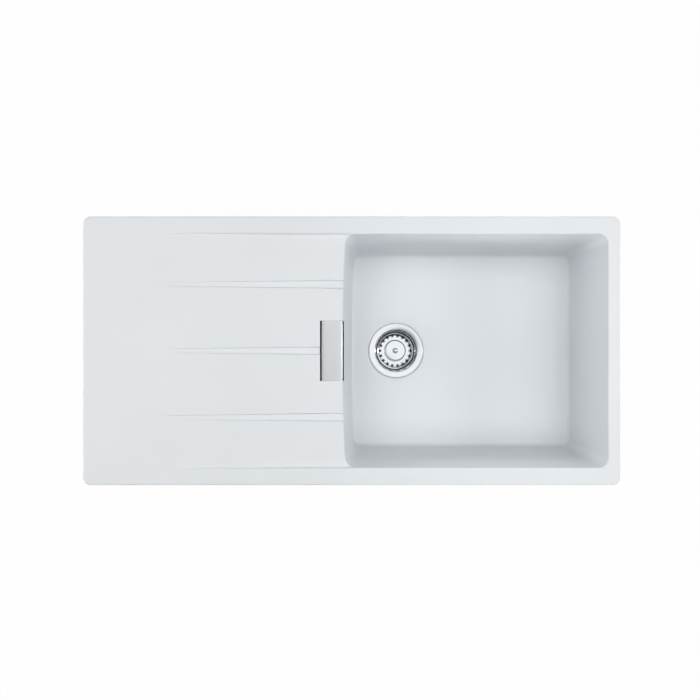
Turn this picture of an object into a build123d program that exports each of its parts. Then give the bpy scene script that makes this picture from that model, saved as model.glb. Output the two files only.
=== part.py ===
"""Inset composite kitchen sink: one bowl, a drainer, a basket strainer waste and an overflow.

Millimetres, +Z up.  The origin is the middle of the rim's underside, so z = 0 is the top of
the worktop that the rim sits on.  X runs along the sink, from the drainer to the bowl.
"""
import os
from math import radians, sin, sqrt, tan

from build123d import *

# Outline and rim
SINK_LENGTH = 1000.0
SINK_WIDTH = 500.0
RIM_HEIGHT = 9.0
OUTER_CORNER_R = 14.0
RIM_EDGE_R = 2.5
RIM_FOOT_CHAMFER = 0.8

# Bowl
RIGHT_RIM = 23.0
LONG_RIM = 32.5
BOWL_LENGTH = 495.0
BOWL_DEPTH = 200.0
WALL_DRAFT = 5.0
BOWL_CORNER_R = 18.0
FLOOR_FILLET_R = 9.0
FLOOR_FILLET_SHARE = 0.9
DIVIDER_BOW_R = 3600.0
LIP_R = 2.5
WALL = 9.0
FLOOR = 10.0

# Drainer
DRAINER_MARGIN = 112.0
DRAINER_FALL = 7.0
DRAINER_THICKNESS = 9.0
GROOVE_MARGIN = 32.0
GROOVE_COUNT = 3
GROOVE_PITCH = 124.0
GROOVE_DEPTH = 3.5
GROOVE_FLOOR = 9.0
GROOVE_FLANK = 48.0

# Rim underside: sealing strip, downstand and ribs
SEAL_INSET = 4.0
SEAL_GROOVE_WIDTH = 5.0
SEAL_DEPTH = 2.0
SEAL_SIDE_GAP = 0.2
DOWNSTAND_INSET = 13.0
DOWNSTAND_WIDTH = 6.0
DOWNSTAND_DEPTH = 12.0
RIB_WIDTH = 6.0
CORNER_LEAST_R = 1.0

# Overflow pocket and its cover
COVER_LENGTH = 112.0
COVER_WIDTH = 39.0
COVER_SHEET = 1.2
COVER_FLANGE = 5.0
COVER_ROLL_R = 3.0
COVER_OVERHANG = 1.5
COVER_SLOT = 3.5
COVER_SLOT_DEPTH = 12.0
COVER_END_GAP = 0.4
LEDGE_WIDTH = 5.5
WEIR_DROP = 37.0
WEIR_CREST = 0.2
POCKET_SUMP = 8.0
POCKET_WALL = 8.0
LEG_LENGTH = 16.0
LEG_WIDTH = 20.0
LEG_THICKNESS = 3.0
LEG_GAP = 0.4

# Overflow outlet below the pocket
OUTLET_INSET = 13.0
OUTLET_R = 10.5
OUTLET_FLANGE_WIDTH = 40.0
OUTLET_FLANGE_LENGTH = 72.0
OUTLET_FLANGE_CORNER_R = 12.0
OUTLET_FLANGE = 4.0
OUTLET_GASKET = 2.5
OUTLET_SCREW_SPACING = 54.0
OUTLET_SCREW_R = 2.1
OUTLET_SCREW_HEAD_R = 4.0
OUTLET_SCREW_HEAD = 3.2
OUTLET_SCREW_GRIP = 6.0
SCREW_SLOT_WIDTH = 1.0
SCREW_SLOT_DEPTH = 1.2

# Overflow pipe and its slip joints
PIPE_R = 12.5
PIPE_WALL = 2.0
PIPE_BEND_R = 38.0
PIPE_SOCKET_GAP = 0.3
PIPE_END_GAP = 1.0
SPIGOT_LENGTH = 28.0
SPIGOT_WALL = 2.4
SPIGOT_SHOULDER = 2.5
THREAD_HEIGHT = 0.8
THREAD_PITCH = 2.309
JOINT_SEAL = 4.0
NUT_GRIP = 16.0
NUT_LIP = 3.0
NUT_WALL = 4.2
NUT_RIBS = 12
NUT_RIB_R = 1.6
NUT_GAP = 0.3

# Waste: strainer cup, clamp screw and body
WASTE_FROM_LIP = 112.0
WASTE_HOLE_GAP = 0.4
FLANGE_WIDTH = 13.0
FLANGE_RECESS = 2.5
FLANGE_RECESS_GAP = 1.5
FLANGE_GASKET = 1.5
FLANGE_GASKET_WIDTH = 9.0
CUP_SHEET = 1.2
CUP_TOP_R = 44.0
CUP_FOOT_R = 39.0
CUP_FOOT_RISE = 7.0
CUP_DEPTH = 45.0
CUP_SEAT_WIDTH = 6.5
CUP_OUTLET_R = 27.0
CUP_COLLAR = 7.0
SPIDER_ARMS = 4
SPIDER_WIDTH = 5.0
SPIDER_HEIGHT = 3.0
HUB_R = 9.0
HUB_HEIGHT = 4.0
SCREW_R = 5.0
SCREW_BORE_GAP = 0.1
SCREW_HEAD_R = 8.0
SCREW_HEAD = 2.5
SCREW_LENGTH = 26.0
SCREW_HOLE_GAP = 0.2
BODY_GASKET = 2.5
BODY_FLANGE = 4.0
BODY_FLANGE_WIDTH = 5.5
BODY_CUP_GAP = 2.3
BODY_WALL = 3.0
BODY_SUMP = 6.0
BODY_FUNNEL = 15.0
BODY_RIBS = 4
BODY_RIB_WIDTH = 4.0
BODY_HUB_R = 11.0
INSERT_R = 7.5
INSERT_LENGTH = 12.0
TAIL_R = 23.9
TAIL_WALL = 3.1
TAIL_LENGTH = 34.0
PORT_DROP = 31.0

# Basket: lifts out of the cup
BASKET_SHEET = 1.0
BASKET_GAP = 1.1
BASKET_LIP = 2.5
BASKET_HEIGHT = 13.5
BASKET_FLOOR_LAP = 3.3
DOME_R = 22.5
DOME_RISE = 8.0
DOME_STEP = 7.0
DOME_SHOULDER = 2.0
SLOT_COUNT = 18
SLOT_WIDTH = 5.0
SLOT_HEIGHT = 11.0
SLOT_MID_RISE = 3.5
SLOT_CORNER_R = 1.5
STOPPER_LAP = 3.5
STOPPER_THICKNESS = 4.0
STOPPER_RELIEF_R = 16.0
STOPPER_RELIEF = 2.5
STEM_R = 3.0
STEM_LENGTH = 39.0
STEM_FIT = 0.05
CLIP_R = 7.0
CLIP_THICKNESS = 1.2
KNOB_R = 6.0
KNOB_BASE_R = 5.5
KNOB_NECK_R = 4.2
KNOB_BELLY = 6.0
KNOB_SOCKET = 5.0

# Rim clamps under the long edges
CLAMPS_PER_SIDE = 4
CLAMP_END_MARGIN = 100.0
CLAMP_STANDOFF = 3.0
CLAMP_BOSS_R = 7.0
CLAMP_BOSS_DEPTH = 20.0
CLAMP_PLUG_R = 4.5
CLAMP_PLUG_LENGTH = 16.0
CLAMP_SCREW_R = 3.0
CLAMP_SCREW_HEAD_R = 5.0
CLAMP_SCREW_HEAD = 3.5
CLAMP_SOCKET_R = 2.3
CLAMP_SOCKET_DEPTH = 2.0
CLAMP_DROP = 50.0
CLAMP_STRIP = 2.5
CLAMP_WIDTH = 10.0
CLAMP_REACH = 34.0
CLAMP_HOOK = 9.0
CLAMP_TURN_GAP = 0.1
FIT_GAP = 0.05

# How far cutting shapes run past what they cut
OVERCUT = 5.0
LIP_REACH = 45.0

# Levels and places that follow from the sizes above
LEAN = tan(radians(WALL_DRAFT))
BOWL_WIDTH = SINK_WIDTH - 2 * LONG_RIM
BOWL_RIGHT = SINK_LENGTH / 2 - RIGHT_RIM
BOWL_LEFT = BOWL_RIGHT - BOWL_LENGTH
FLOOR_Z = RIM_HEIGHT - BOWL_DEPTH
UNDER_Z = FLOOR_Z - FLOOR
DRAINER_START = DRAINER_MARGIN - SINK_LENGTH / 2
LIP_Z = RIM_HEIGHT - DRAINER_FALL
GROOVE_START = DRAINER_START + GROOVE_MARGIN
GROOVE_YS = [GROOVE_PITCH * (i - (GROOVE_COUNT - 1) / 2) for i in range(GROOVE_COUNT)]

COVER_RIGHT = BOWL_LEFT + COVER_OVERHANG
COVER_LEFT = COVER_RIGHT - COVER_WIDTH
COVER_MID = (COVER_LEFT + COVER_RIGHT) / 2
POCKET_LEFT = COVER_LEFT - COVER_SLOT
POCKET_HALF = COVER_LENGTH / 2 + COVER_END_GAP - LEDGE_WIDTH
WEIR_Z = RIM_HEIGHT - WEIR_DROP
POCKET_FLOOR_Z = WEIR_Z - POCKET_SUMP
POCKET_UNDER_Z = POCKET_FLOOR_Z - POCKET_WALL
POCKET_RIGHT = BOWL_LEFT - WALL + WEIR_DROP * LEAN

OUTLET_X = POCKET_LEFT + OUTLET_INSET
OUTLET_TOP_Z = POCKET_UNDER_Z - OUTLET_GASKET
SPIGOT_TOP_Z = OUTLET_TOP_Z - OUTLET_FLANGE
SPIGOT_END_Z = SPIGOT_TOP_Z - SPIGOT_LENGTH
SPIGOT_BORE_R = PIPE_R + PIPE_SOCKET_GAP
SPIGOT_ROOT_R = SPIGOT_BORE_R + SPIGOT_WALL
SPIGOT_CREST_R = SPIGOT_ROOT_R + THREAD_HEIGHT
NUT_R = SPIGOT_CREST_R + NUT_GAP + NUT_WALL

WASTE_X = BOWL_LEFT + WASTE_FROM_LIP
FLANGE_R = CUP_TOP_R + FLANGE_WIDTH
FLANGE_SEAT_Z = FLOOR_Z - FLANGE_RECESS
FLANGE_UNDER_Z = FLANGE_SEAT_Z + FLANGE_GASKET
FLANGE_TOP_Z = FLANGE_UNDER_Z + CUP_SHEET
WASTE_HOLE_R = CUP_TOP_R + 1.5 * CUP_SHEET + WASTE_HOLE_GAP
CUP_RIM_Z = FLANGE_TOP_Z - 2 * CUP_SHEET
CUP_FLOOR_Z = FLANGE_TOP_Z - CUP_DEPTH
CUP_FOOT_Z = CUP_FLOOR_Z + CUP_FOOT_RISE
CUP_FLOOR_R = CUP_OUTLET_R + CUP_SEAT_WIDTH
COLLAR_END_Z = CUP_FLOOR_Z - CUP_COLLAR
HUB_TOP_Z = COLLAR_END_Z + HUB_HEIGHT
SCREW_END_Z = HUB_TOP_Z - SCREW_LENGTH
BODY_TOP_Z = UNDER_Z - BODY_GASKET
BODY_BORE_R = CUP_TOP_R + CUP_SHEET + BODY_CUP_GAP
BODY_R = BODY_BORE_R + BODY_WALL
BODY_FLANGE_R = BODY_R + BODY_FLANGE_WIDTH
FUNNEL_TOP_Z = COLLAR_END_Z - BODY_SUMP
FUNNEL_END_Z = FUNNEL_TOP_Z - BODY_FUNNEL
TAIL_BORE_R = TAIL_R - THREAD_HEIGHT - TAIL_WALL
PORT_Z = UNDER_Z - PORT_DROP
PORT_END_X = WASTE_X - BODY_R - SPIGOT_LENGTH
BASKET_Z = CUP_FLOOR_Z + STOPPER_THICKNESS
BASKET_LIP_Z = BASKET_Z + BASKET_HEIGHT
CUP_TAPER = (CUP_TOP_R - CUP_FOOT_R) / (CUP_RIM_Z - CUP_FOOT_Z)
BASKET_LIP_R = CUP_FOOT_R + CUP_TAPER * (BASKET_LIP_Z - BASKET_SHEET - CUP_FOOT_Z) - BASKET_GAP
BASKET_WALL_R = BASKET_LIP_R - BASKET_LIP
STOPPER_R = CUP_OUTLET_R + STOPPER_LAP
BASKET_FLOOR_R = STOPPER_R + BASKET_FLOOR_LAP

CLAMP_Y = BOWL_WIDTH / 2 + WALL + CLAMP_STANDOFF
CLAMP_STEP = (SINK_LENGTH - 2 * CLAMP_END_MARGIN) / (CLAMPS_PER_SIDE - 1)
CLAMP_XS = [CLAMP_END_MARGIN - SINK_LENGTH / 2 + CLAMP_STEP * i for i in range(CLAMPS_PER_SIDE)]
CLAMP_SPOTS = [(x, side) for side in (1, -1) for x in CLAMP_XS]
CLAMP_UNDER_Z = -CLAMP_DROP - CLAMP_STRIP


def span_box(x0, x1, y0, y1, z0, z1):
    """Box between two corners."""
    return Pos((x0 + x1) / 2, (y0 + y1) / 2, (z0 + z1) / 2) * Box(x1 - x0, y1 - y0, z1 - z0)


def rod(radius, z0, z1, x=0.0, y=0.0):
    """Upright cylinder between two levels."""
    return Pos(x, y, (z0 + z1) / 2) * Cylinder(radius, z1 - z0)


def tube(outer_r, inner_r, z0, z1, x=0.0, y=0.0):
    """Upright ring between two levels."""
    return rod(outer_r, z0, z1, x, y) - rod(inner_r, z0 - OVERCUT, z1 + OVERCUT, x, y)


def turned(points):
    """Solid of revolution about Z from a closed outline of (radius, z) points."""
    return revolve(Plane.XZ * make_face(Polyline(*points, close=True)), axis=Axis.Z)


def turned_outline(*pieces):
    """Solid of revolution about Z from lines and arcs that close an outline in (radius, z)."""
    return revolve(Plane.XZ * make_face(Curve() + list(pieces)), axis=Axis.Z)


def prism_along_y(points, half_width):
    """Closed (x, z) outline drawn out evenly to both sides of y = 0."""
    return extrude(Plane.XZ * make_face(Polyline(*points, close=True)), amount=half_width, both=True)


def prism_along_x(points, x0, x1):
    """Closed (y, z) outline drawn out from x0 to x1."""
    return Pos(x0, 0, 0) * extrude(Plane.YZ * make_face(Polyline(*points, close=True)), amount=x1 - x0)


def rim_plate(inset, z0, z1):
    """Plate with the sink's outline drawn in by an inset."""
    radius = max(OUTER_CORNER_R - inset, CORNER_LEAST_R)
    outline = RectangleRounded(SINK_LENGTH - 2 * inset, SINK_WIDTH - 2 * inset, radius)
    return Pos(0, 0, z0) * extrude(outline, amount=z1 - z0)


def drainer_z(x):
    """Level of the sloping drainer at x."""
    return RIM_HEIGHT - DRAINER_FALL * (x - DRAINER_START) / (BOWL_LEFT - DRAINER_START)


def bowl_block(outset, top_z, floor_z, corner_r, floor_r):
    """Block with the bowl's plan, drafted walls and rounded corners and floor edge.

    Its sides stand outset outside the bowl's own walls.  Three walls are flat, and the wall
    beside the drainer is part of a large cone, bowed towards the drainer.
    """
    top = (RIM_HEIGHT - top_z) * LEAN - outset
    foot = (RIM_HEIGHT - floor_z) * LEAN - outset
    far_x = BOWL_LEFT - BOWL_WIDTH
    half_top = BOWL_WIDTH / 2 - top
    half_foot = BOWL_WIDTH / 2 - foot
    long_points = [(far_x, floor_z), (BOWL_RIGHT - foot, floor_z),
                   (BOWL_RIGHT - top, top_z), (far_x, top_z)]
    cross_points = [(-half_foot, floor_z), (half_foot, floor_z), (half_top, top_z), (-half_top, top_z)]
    walls = prism_along_y(long_points, BOWL_WIDTH) & prism_along_x(cross_points, far_x, SINK_LENGTH)
    bow = Cone(DIVIDER_BOW_R - foot, DIVIDER_BOW_R - top, top_z - floor_z)
    block = walls & Pos(BOWL_LEFT + DIVIDER_BOW_R, 0, (top_z + floor_z) / 2) * bow
    upright = [edge for edge in block.edges() if abs(edge.tangent_at(0.5).Z) > 0.5]
    block = fillet(upright, corner_r)
    return fillet(block.edges().group_by(Axis.Z)[0], min(floor_r, FLOOR_FILLET_SHARE * corner_r))


def bowl_lip_edges(basin):
    """Edges around the bowl's mouth, at the rim's top."""
    found = []
    for edge in basin.edges():
        middle = edge.center()
        level = abs(middle.Z - RIM_HEIGHT) < LIP_R / 10
        along = BOWL_LEFT - LIP_R < middle.X < BOWL_RIGHT + LIP_R
        across = abs(middle.Y) < BOWL_WIDTH / 2 + LIP_R
        if level and along and across:
            found.append(edge)
    return found


def drainer_trough():
    """Space above the drainer, with side walls in line with the bowl's long walls."""
    top_z = RIM_HEIGHT + OVERCUT
    reach_x = BOWL_LEFT + LIP_REACH
    slope_points = [(DRAINER_START, RIM_HEIGHT), (reach_x, drainer_z(reach_x)),
                    (reach_x, top_z), (DRAINER_START, top_z)]
    foot_z = LIP_Z - OVERCUT
    half_top = BOWL_WIDTH / 2 + OVERCUT * LEAN
    half_foot = BOWL_WIDTH / 2 - (RIM_HEIGHT - foot_z) * LEAN
    cross_points = [(-half_foot, foot_z), (half_foot, foot_z), (half_top, top_z), (-half_top, top_z)]
    return prism_along_y(slope_points, BOWL_WIDTH) & prism_along_x(cross_points, DRAINER_START, reach_x)


def drainer_groove(y):
    """One draining channel, deeper towards the bowl."""
    run = BOWL_LEFT + LIP_REACH - GROOVE_START
    start_z = drainer_z(GROOVE_START)
    lip_run = BOWL_LEFT - GROOVE_START
    drop = (start_z - LIP_Z + GROOVE_DEPTH) * run / lip_run
    height = GROOVE_DEPTH + OVERCUT
    half_floor = GROOVE_FLOOR / 2
    half_top = half_floor + height * tan(radians(GROOVE_FLANK))
    points = [(y - half_floor, 0), (y + half_floor, 0), (y + half_top, height), (y - half_top, height)]
    section = Pos(GROOVE_START, 0, start_z) * (Plane.YZ * make_face(Polyline(*points, close=True)))
    return extrude(section, amount=sqrt(run ** 2 + drop ** 2), dir=(run, 0, -drop))


def overflow_pocket():
    """Seat for the cover, the well under it and the window into the bowl."""
    top_z = RIM_HEIGHT + OVERCUT
    reach_x = BOWL_LEFT + LIP_REACH
    seat_half = COVER_LENGTH / 2 + COVER_END_GAP
    ledge_z = drainer_z(COVER_MID) - COVER_SHEET
    seat = span_box(POCKET_LEFT, reach_x, -seat_half, seat_half, ledge_z, top_z)
    well = span_box(POCKET_LEFT, POCKET_RIGHT, -POCKET_HALF, POCKET_HALF, POCKET_FLOOR_Z, top_z)
    window = span_box(POCKET_LEFT, reach_x, -POCKET_HALF, POCKET_HALF, WEIR_Z, top_z)
    window += span_box(POCKET_RIGHT, reach_x, -seat_half, seat_half, WEIR_Z, top_z)
    outlet = rod(OUTLET_R, POCKET_UNDER_Z - OVERCUT, POCKET_FLOOR_Z + OVERCUT, OUTLET_X)
    slot = span_box(POCKET_LEFT, COVER_LEFT, -seat_half, seat_half, ledge_z - COVER_SLOT_DEPTH, top_z)
    crest_x = BOWL_LEFT + WEIR_DROP * LEAN - WEIR_CREST
    sill_points = [(POCKET_RIGHT - OVERCUT, POCKET_FLOOR_Z), (POCKET_RIGHT, POCKET_FLOOR_Z),
                   (crest_x, WEIR_Z), (crest_x, WEIR_Z + OVERCUT), (POCKET_RIGHT - OVERCUT, WEIR_Z + OVERCUT)]
    sill = prism_along_y(sill_points, POCKET_HALF)
    return seat + slot + well + sill + window + outlet


def outlet_screw_holes(radius, z0, z1):
    """Pair of round holes on the overflow outlet's screw spacing."""
    half = OUTLET_SCREW_SPACING / 2
    return rod(radius, z0, z1, OUTLET_X, half) + rod(radius, z0, z1, OUTLET_X, -half)


def make_sink_basin():
    """Moulded basin: rim, drainer, bowl, overflow pocket, ribs and clamp bosses in one piece."""
    joined_z = RIM_HEIGHT / 2
    slab = rim_plate(0.0, 0.0, RIM_HEIGHT)
    slab = fillet(slab.edges().group_by(Axis.Z)[-1], RIM_EDGE_R)
    slab = chamfer(slab.edges().group_by(Axis.Z)[0], RIM_FOOT_CHAMFER)
    foot_inset = DOWNSTAND_INSET + DOWNSTAND_WIDTH
    downstand = rim_plate(DOWNSTAND_INSET, -DOWNSTAND_DEPTH, joined_z)
    downstand -= rim_plate(foot_inset, -DOWNSTAND_DEPTH - OVERCUT, joined_z + OVERCUT)
    lip_under_z = LIP_Z - DRAINER_THICKNESS
    under_points = [(DRAINER_START, 0), (BOWL_LEFT, lip_under_z),
                    (BOWL_LEFT, LIP_Z), (DRAINER_START, joined_z)]
    under = prism_along_y(under_points, BOWL_WIDTH / 2 + WALL)
    rib_left = foot_inset - SINK_LENGTH / 2
    half_rib = RIB_WIDTH / 2
    shell = bowl_block(WALL, joined_z, UNDER_Z, BOWL_CORNER_R + WALL, FLOOR_FILLET_R + WALL)
    block_half = COVER_LENGTH / 2 + COVER_END_GAP + POCKET_WALL
    block = span_box(POCKET_LEFT - POCKET_WALL, BOWL_LEFT, -block_half, block_half, POCKET_UNDER_Z, LIP_Z)
    basin = slab + downstand + under + shell + block
    for y in GROOVE_YS:
        basin += span_box(rib_left, BOWL_LEFT, y - half_rib, y + half_rib, -DOWNSTAND_DEPTH, 0)
    for x, side in CLAMP_SPOTS:
        basin += rod(CLAMP_BOSS_R, -CLAMP_BOSS_DEPTH, joined_z, x, side * CLAMP_Y)

    basin -= bowl_block(0.0, RIM_HEIGHT + OVERCUT, FLOOR_Z, BOWL_CORNER_R, FLOOR_FILLET_R)
    basin = fillet(bowl_lip_edges(basin), LIP_R)
    basin -= drainer_trough()
    for y in GROOVE_YS:
        basin -= drainer_groove(y)
    basin -= overflow_pocket()

    seal_room = rim_plate(SEAL_INSET, -OVERCUT, SEAL_DEPTH)
    seal_room -= rim_plate(SEAL_INSET + SEAL_GROOVE_WIDTH, -2 * OVERCUT, SEAL_DEPTH + OVERCUT)
    basin -= seal_room
    basin -= rod(WASTE_HOLE_R, UNDER_Z - OVERCUT, FLOOR_Z + OVERCUT, WASTE_X)
    basin -= rod(FLANGE_R + FLANGE_RECESS_GAP, FLANGE_SEAT_Z, FLOOR_Z + OVERCUT, WASTE_X)
    screw_top_z = POCKET_UNDER_Z + OUTLET_SCREW_GRIP
    basin -= outlet_screw_holes(OUTLET_SCREW_R + FIT_GAP, POCKET_UNDER_Z - OVERCUT, screw_top_z)
    for x, side in CLAMP_SPOTS:
        top_z = CLAMP_PLUG_LENGTH - CLAMP_BOSS_DEPTH
        basin -= rod(CLAMP_PLUG_R + FIT_GAP, -CLAMP_BOSS_DEPTH - OVERCUT, top_z, x, side * CLAMP_Y)
    return basin


def make_rim_seal():
    """Foam sealing strip in the groove under the rim."""
    seal = rim_plate(SEAL_INSET + SEAL_SIDE_GAP, 0, SEAL_DEPTH)
    inner = SEAL_INSET + SEAL_GROOVE_WIDTH - SEAL_SIDE_GAP
    return seal - rim_plate(inner, -OVERCUT, SEAL_DEPTH + OVERCUT)


def make_overflow_cover():
    """Bare pressed sheet with its long edges rolled down, resting on the pocket's end ledges."""
    top_z = drainer_z(COVER_MID)
    half = COVER_LENGTH / 2
    cover = span_box(COVER_LEFT, COVER_RIGHT, -half, half, top_z - COVER_FLANGE, top_z)
    long_edges = cover.edges().filter_by(Axis.Y).group_by(Axis.Z)[-1]
    cover = fillet(long_edges, COVER_ROLL_R)
    left, right = COVER_LEFT + COVER_SHEET, COVER_RIGHT - COVER_SHEET
    low_z, under_z = top_z - COVER_FLANGE - OVERCUT, top_z - COVER_SHEET
    hollow = span_box(left, right, -half - OVERCUT, half + OVERCUT, low_z, under_z)
    inner_edges = hollow.edges().filter_by(Axis.Y).group_by(Axis.Z)[-1]
    cover -= fillet(inner_edges, COVER_ROLL_R - COVER_SHEET)
    flange_half = POCKET_HALF - LEG_GAP
    for side in (1, -1):
        y0, y1 = sorted((side * flange_half, side * (half + OVERCUT)))
        cover -= span_box(COVER_LEFT - OVERCUT, COVER_RIGHT + OVERCUT, y0, y1, low_z, under_z)
    return cover


def make_cover_legs():
    """Pair of moulded legs under the cover that grip the ends of the pocket."""
    top_z = drainer_z(COVER_MID) - COVER_SHEET
    half_width = LEG_WIDTH / 2
    outer = POCKET_HALF - LEG_GAP
    x0, x1 = COVER_MID - half_width, COVER_MID + half_width
    front = span_box(x0, x1, -outer, LEG_THICKNESS - outer, top_z - LEG_LENGTH, top_z)
    back = span_box(x0, x1, outer - LEG_THICKNESS, outer, top_z - LEG_LENGTH, top_z)
    return front + back


def outlet_flange(z0, z1):
    """Rounded plate of the overflow outlet, with its bore and screw holes."""
    outline = RectangleRounded(OUTLET_FLANGE_WIDTH, OUTLET_FLANGE_LENGTH, OUTLET_FLANGE_CORNER_R)
    plate = Pos(OUTLET_X, 0, z0) * extrude(outline, amount=z1 - z0)
    plate -= rod(OUTLET_R, z0 - OVERCUT, z1 + OVERCUT, OUTLET_X)
    return plate - outlet_screw_holes(OUTLET_SCREW_R + FIT_GAP, z0 - OVERCUT, z1 + OVERCUT)


def threaded_spigot(crest_r, bore_r, length):
    """Tube with rounded-off thread rings outside, from z = 0 down to -length."""
    root_r = crest_r - THREAD_HEIGHT
    flank = THREAD_PITCH / 4
    points = [(bore_r, 0), (root_r, 0)]
    turns = int((length - THREAD_PITCH) / THREAD_PITCH)
    for turn in range(turns):
        z = -length + THREAD_PITCH * (turns - turn)
        points += [(root_r, z), (crest_r, z - flank), (crest_r, z - 2 * flank), (root_r, z - 3 * flank)]
    points += [(root_r, -length), (bore_r, -length)]
    return turned(points)


def make_overflow_body():
    """Moulded outlet below the pocket: screwed flange and threaded spigot."""
    body = outlet_flange(SPIGOT_TOP_Z, OUTLET_TOP_Z)
    spigot = Pos(OUTLET_X, 0, SPIGOT_TOP_Z) * threaded_spigot(SPIGOT_CREST_R, OUTLET_R, SPIGOT_LENGTH)
    socket_top_z = SPIGOT_TOP_Z - SPIGOT_SHOULDER
    return body + spigot - rod(SPIGOT_BORE_R, SPIGOT_END_Z - OVERCUT, socket_top_z, OUTLET_X)


def make_overflow_screws():
    """Two slotted screws that hold the overflow outlet up against the basin."""
    half = OUTLET_SCREW_SPACING / 2
    head_z = SPIGOT_TOP_Z - OUTLET_SCREW_HEAD
    end_z = POCKET_UNDER_Z + OUTLET_SCREW_GRIP
    screws = []
    for y in (half, -half):
        screw = rod(OUTLET_SCREW_R, SPIGOT_TOP_Z, end_z, OUTLET_X, y)
        screw += rod(OUTLET_SCREW_HEAD_R, head_z, SPIGOT_TOP_Z, OUTLET_X, y)
        slot_half = SCREW_SLOT_WIDTH / 2
        reach = OUTLET_SCREW_HEAD_R + OVERCUT
        screw -= span_box(OUTLET_X - reach, OUTLET_X + reach, y - slot_half, y + slot_half,
                          head_z - OVERCUT, head_z + SCREW_SLOT_DEPTH)
        screws.append(screw)
    return Compound(children=screws)


def slip_joint_seal():
    """Rubber ring between a spigot's end (z = 0) and its nut."""
    return tube(SPIGOT_ROOT_R, PIPE_R + FIT_GAP, -JOINT_SEAL, 0)


def slip_joint_nut():
    """Ribbed hand nut over a spigot that ends at z = 0, with the pipe leaving downwards."""
    foot_z = -JOINT_SEAL - NUT_LIP
    nut = rod(NUT_R, foot_z, NUT_GRIP)
    nut -= rod(SPIGOT_CREST_R + NUT_GAP, -JOINT_SEAL, NUT_GRIP + OVERCUT)
    nut -= rod(PIPE_R + NUT_GAP, foot_z - OVERCUT, NUT_GRIP)
    nut = chamfer(nut.edges().group_by(Axis.Z)[0].sort_by(SortBy.LENGTH)[-1], NUT_LIP / 3)
    for spot in PolarLocations(NUT_R, NUT_RIBS):
        nut -= spot * rod(NUT_RIB_R, foot_z - OVERCUT, NUT_GRIP + OVERCUT)
    return nut


UPPER_JOINT = Pos(OUTLET_X, 0, SPIGOT_END_Z)
LOWER_JOINT = Pos(PORT_END_X, 0, PORT_Z) * Rot(0, 90, 0)


def make_overflow_pipe():
    """Rigid moulded bend from the overflow outlet to the waste body's side port."""
    top_z = SPIGOT_TOP_Z - SPIGOT_SHOULDER - PIPE_END_GAP
    end_x = WASTE_X - BODY_R - SPIGOT_SHOULDER - PIPE_END_GAP
    start, corner, end = (OUTLET_X, 0, top_z), (OUTLET_X, 0, PORT_Z), (end_x, 0, PORT_Z)
    route = FilletPolyline(start, corner, end, radius=PIPE_BEND_R)
    mouth = Pos(OUTLET_X, 0, top_z) * (Circle(PIPE_R) - Circle(PIPE_R - PIPE_WALL))
    return sweep(mouth, path=route)


def make_strainer_cup():
    """Pressed steel flange and cup, with a spider that carries the clamp screw."""
    top, under = FLANGE_TOP_Z, FLANGE_UNDER_Z
    foot_z, sheet = CUP_FOOT_Z, CUP_SHEET
    points = [
        (FLANGE_R, under), (FLANGE_R, top - sheet / 2), (FLANGE_R - 2 * sheet, top),
        (CUP_TOP_R + 2 * sheet, top), (CUP_TOP_R, CUP_RIM_Z), (CUP_FOOT_R, foot_z),
        (CUP_FLOOR_R, CUP_FLOOR_Z), (CUP_OUTLET_R, CUP_FLOOR_Z), (CUP_OUTLET_R, COLLAR_END_Z),
        (CUP_OUTLET_R + sheet, COLLAR_END_Z), (CUP_OUTLET_R + sheet, CUP_FLOOR_Z - sheet),
        (CUP_FLOOR_R + sheet / 2, CUP_FLOOR_Z - sheet), (CUP_FOOT_R + sheet, foot_z - sheet / 2),
        (CUP_TOP_R + sheet, CUP_RIM_Z), (CUP_TOP_R + 1.5 * sheet, under),
    ]
    cup = turned(points)
    half_arm = SPIDER_WIDTH / 2
    arm_top_z = COLLAR_END_Z + SPIDER_HEIGHT
    cup += rod(HUB_R, COLLAR_END_Z, HUB_TOP_Z)
    for turn in range(SPIDER_ARMS):
        arm = span_box(0, CUP_OUTLET_R + sheet / 2, -half_arm, half_arm, COLLAR_END_Z, arm_top_z)
        cup += Rot(0, 0, 360 / SPIDER_ARMS * (turn + 0.5)) * arm
    cup -= rod(SCREW_R + SCREW_HOLE_GAP, COLLAR_END_Z - OVERCUT, HUB_TOP_Z + OVERCUT)
    return Pos(WASTE_X, 0, 0) * cup


def make_waste_screw():
    """Hollow clamp screw: pulls the waste body up to the cup and guides the basket's stem."""
    screw = rod(SCREW_R, SCREW_END_Z, HUB_TOP_Z)
    head = extrude(RegularPolygon(SCREW_HEAD_R, 6), amount=SCREW_HEAD)
    screw += Pos(0, 0, HUB_TOP_Z) * head
    screw -= rod(STEM_R + SCREW_BORE_GAP, SCREW_END_Z - OVERCUT, HUB_TOP_Z + SCREW_HEAD + OVERCUT)
    return Pos(WASTE_X, 0, 0) * screw


def make_screw_insert():
    """Hexagonal brass insert in the waste body's hub."""
    blank = extrude(RegularPolygon(INSERT_R, 6), amount=INSERT_LENGTH)
    insert = Pos(0, 0, SCREW_END_Z) * blank
    insert -= rod(SCREW_R + FIT_GAP, SCREW_END_Z - OVERCUT, SCREW_END_Z + INSERT_LENGTH + OVERCUT)
    return Pos(WASTE_X, 0, 0) * insert


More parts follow.
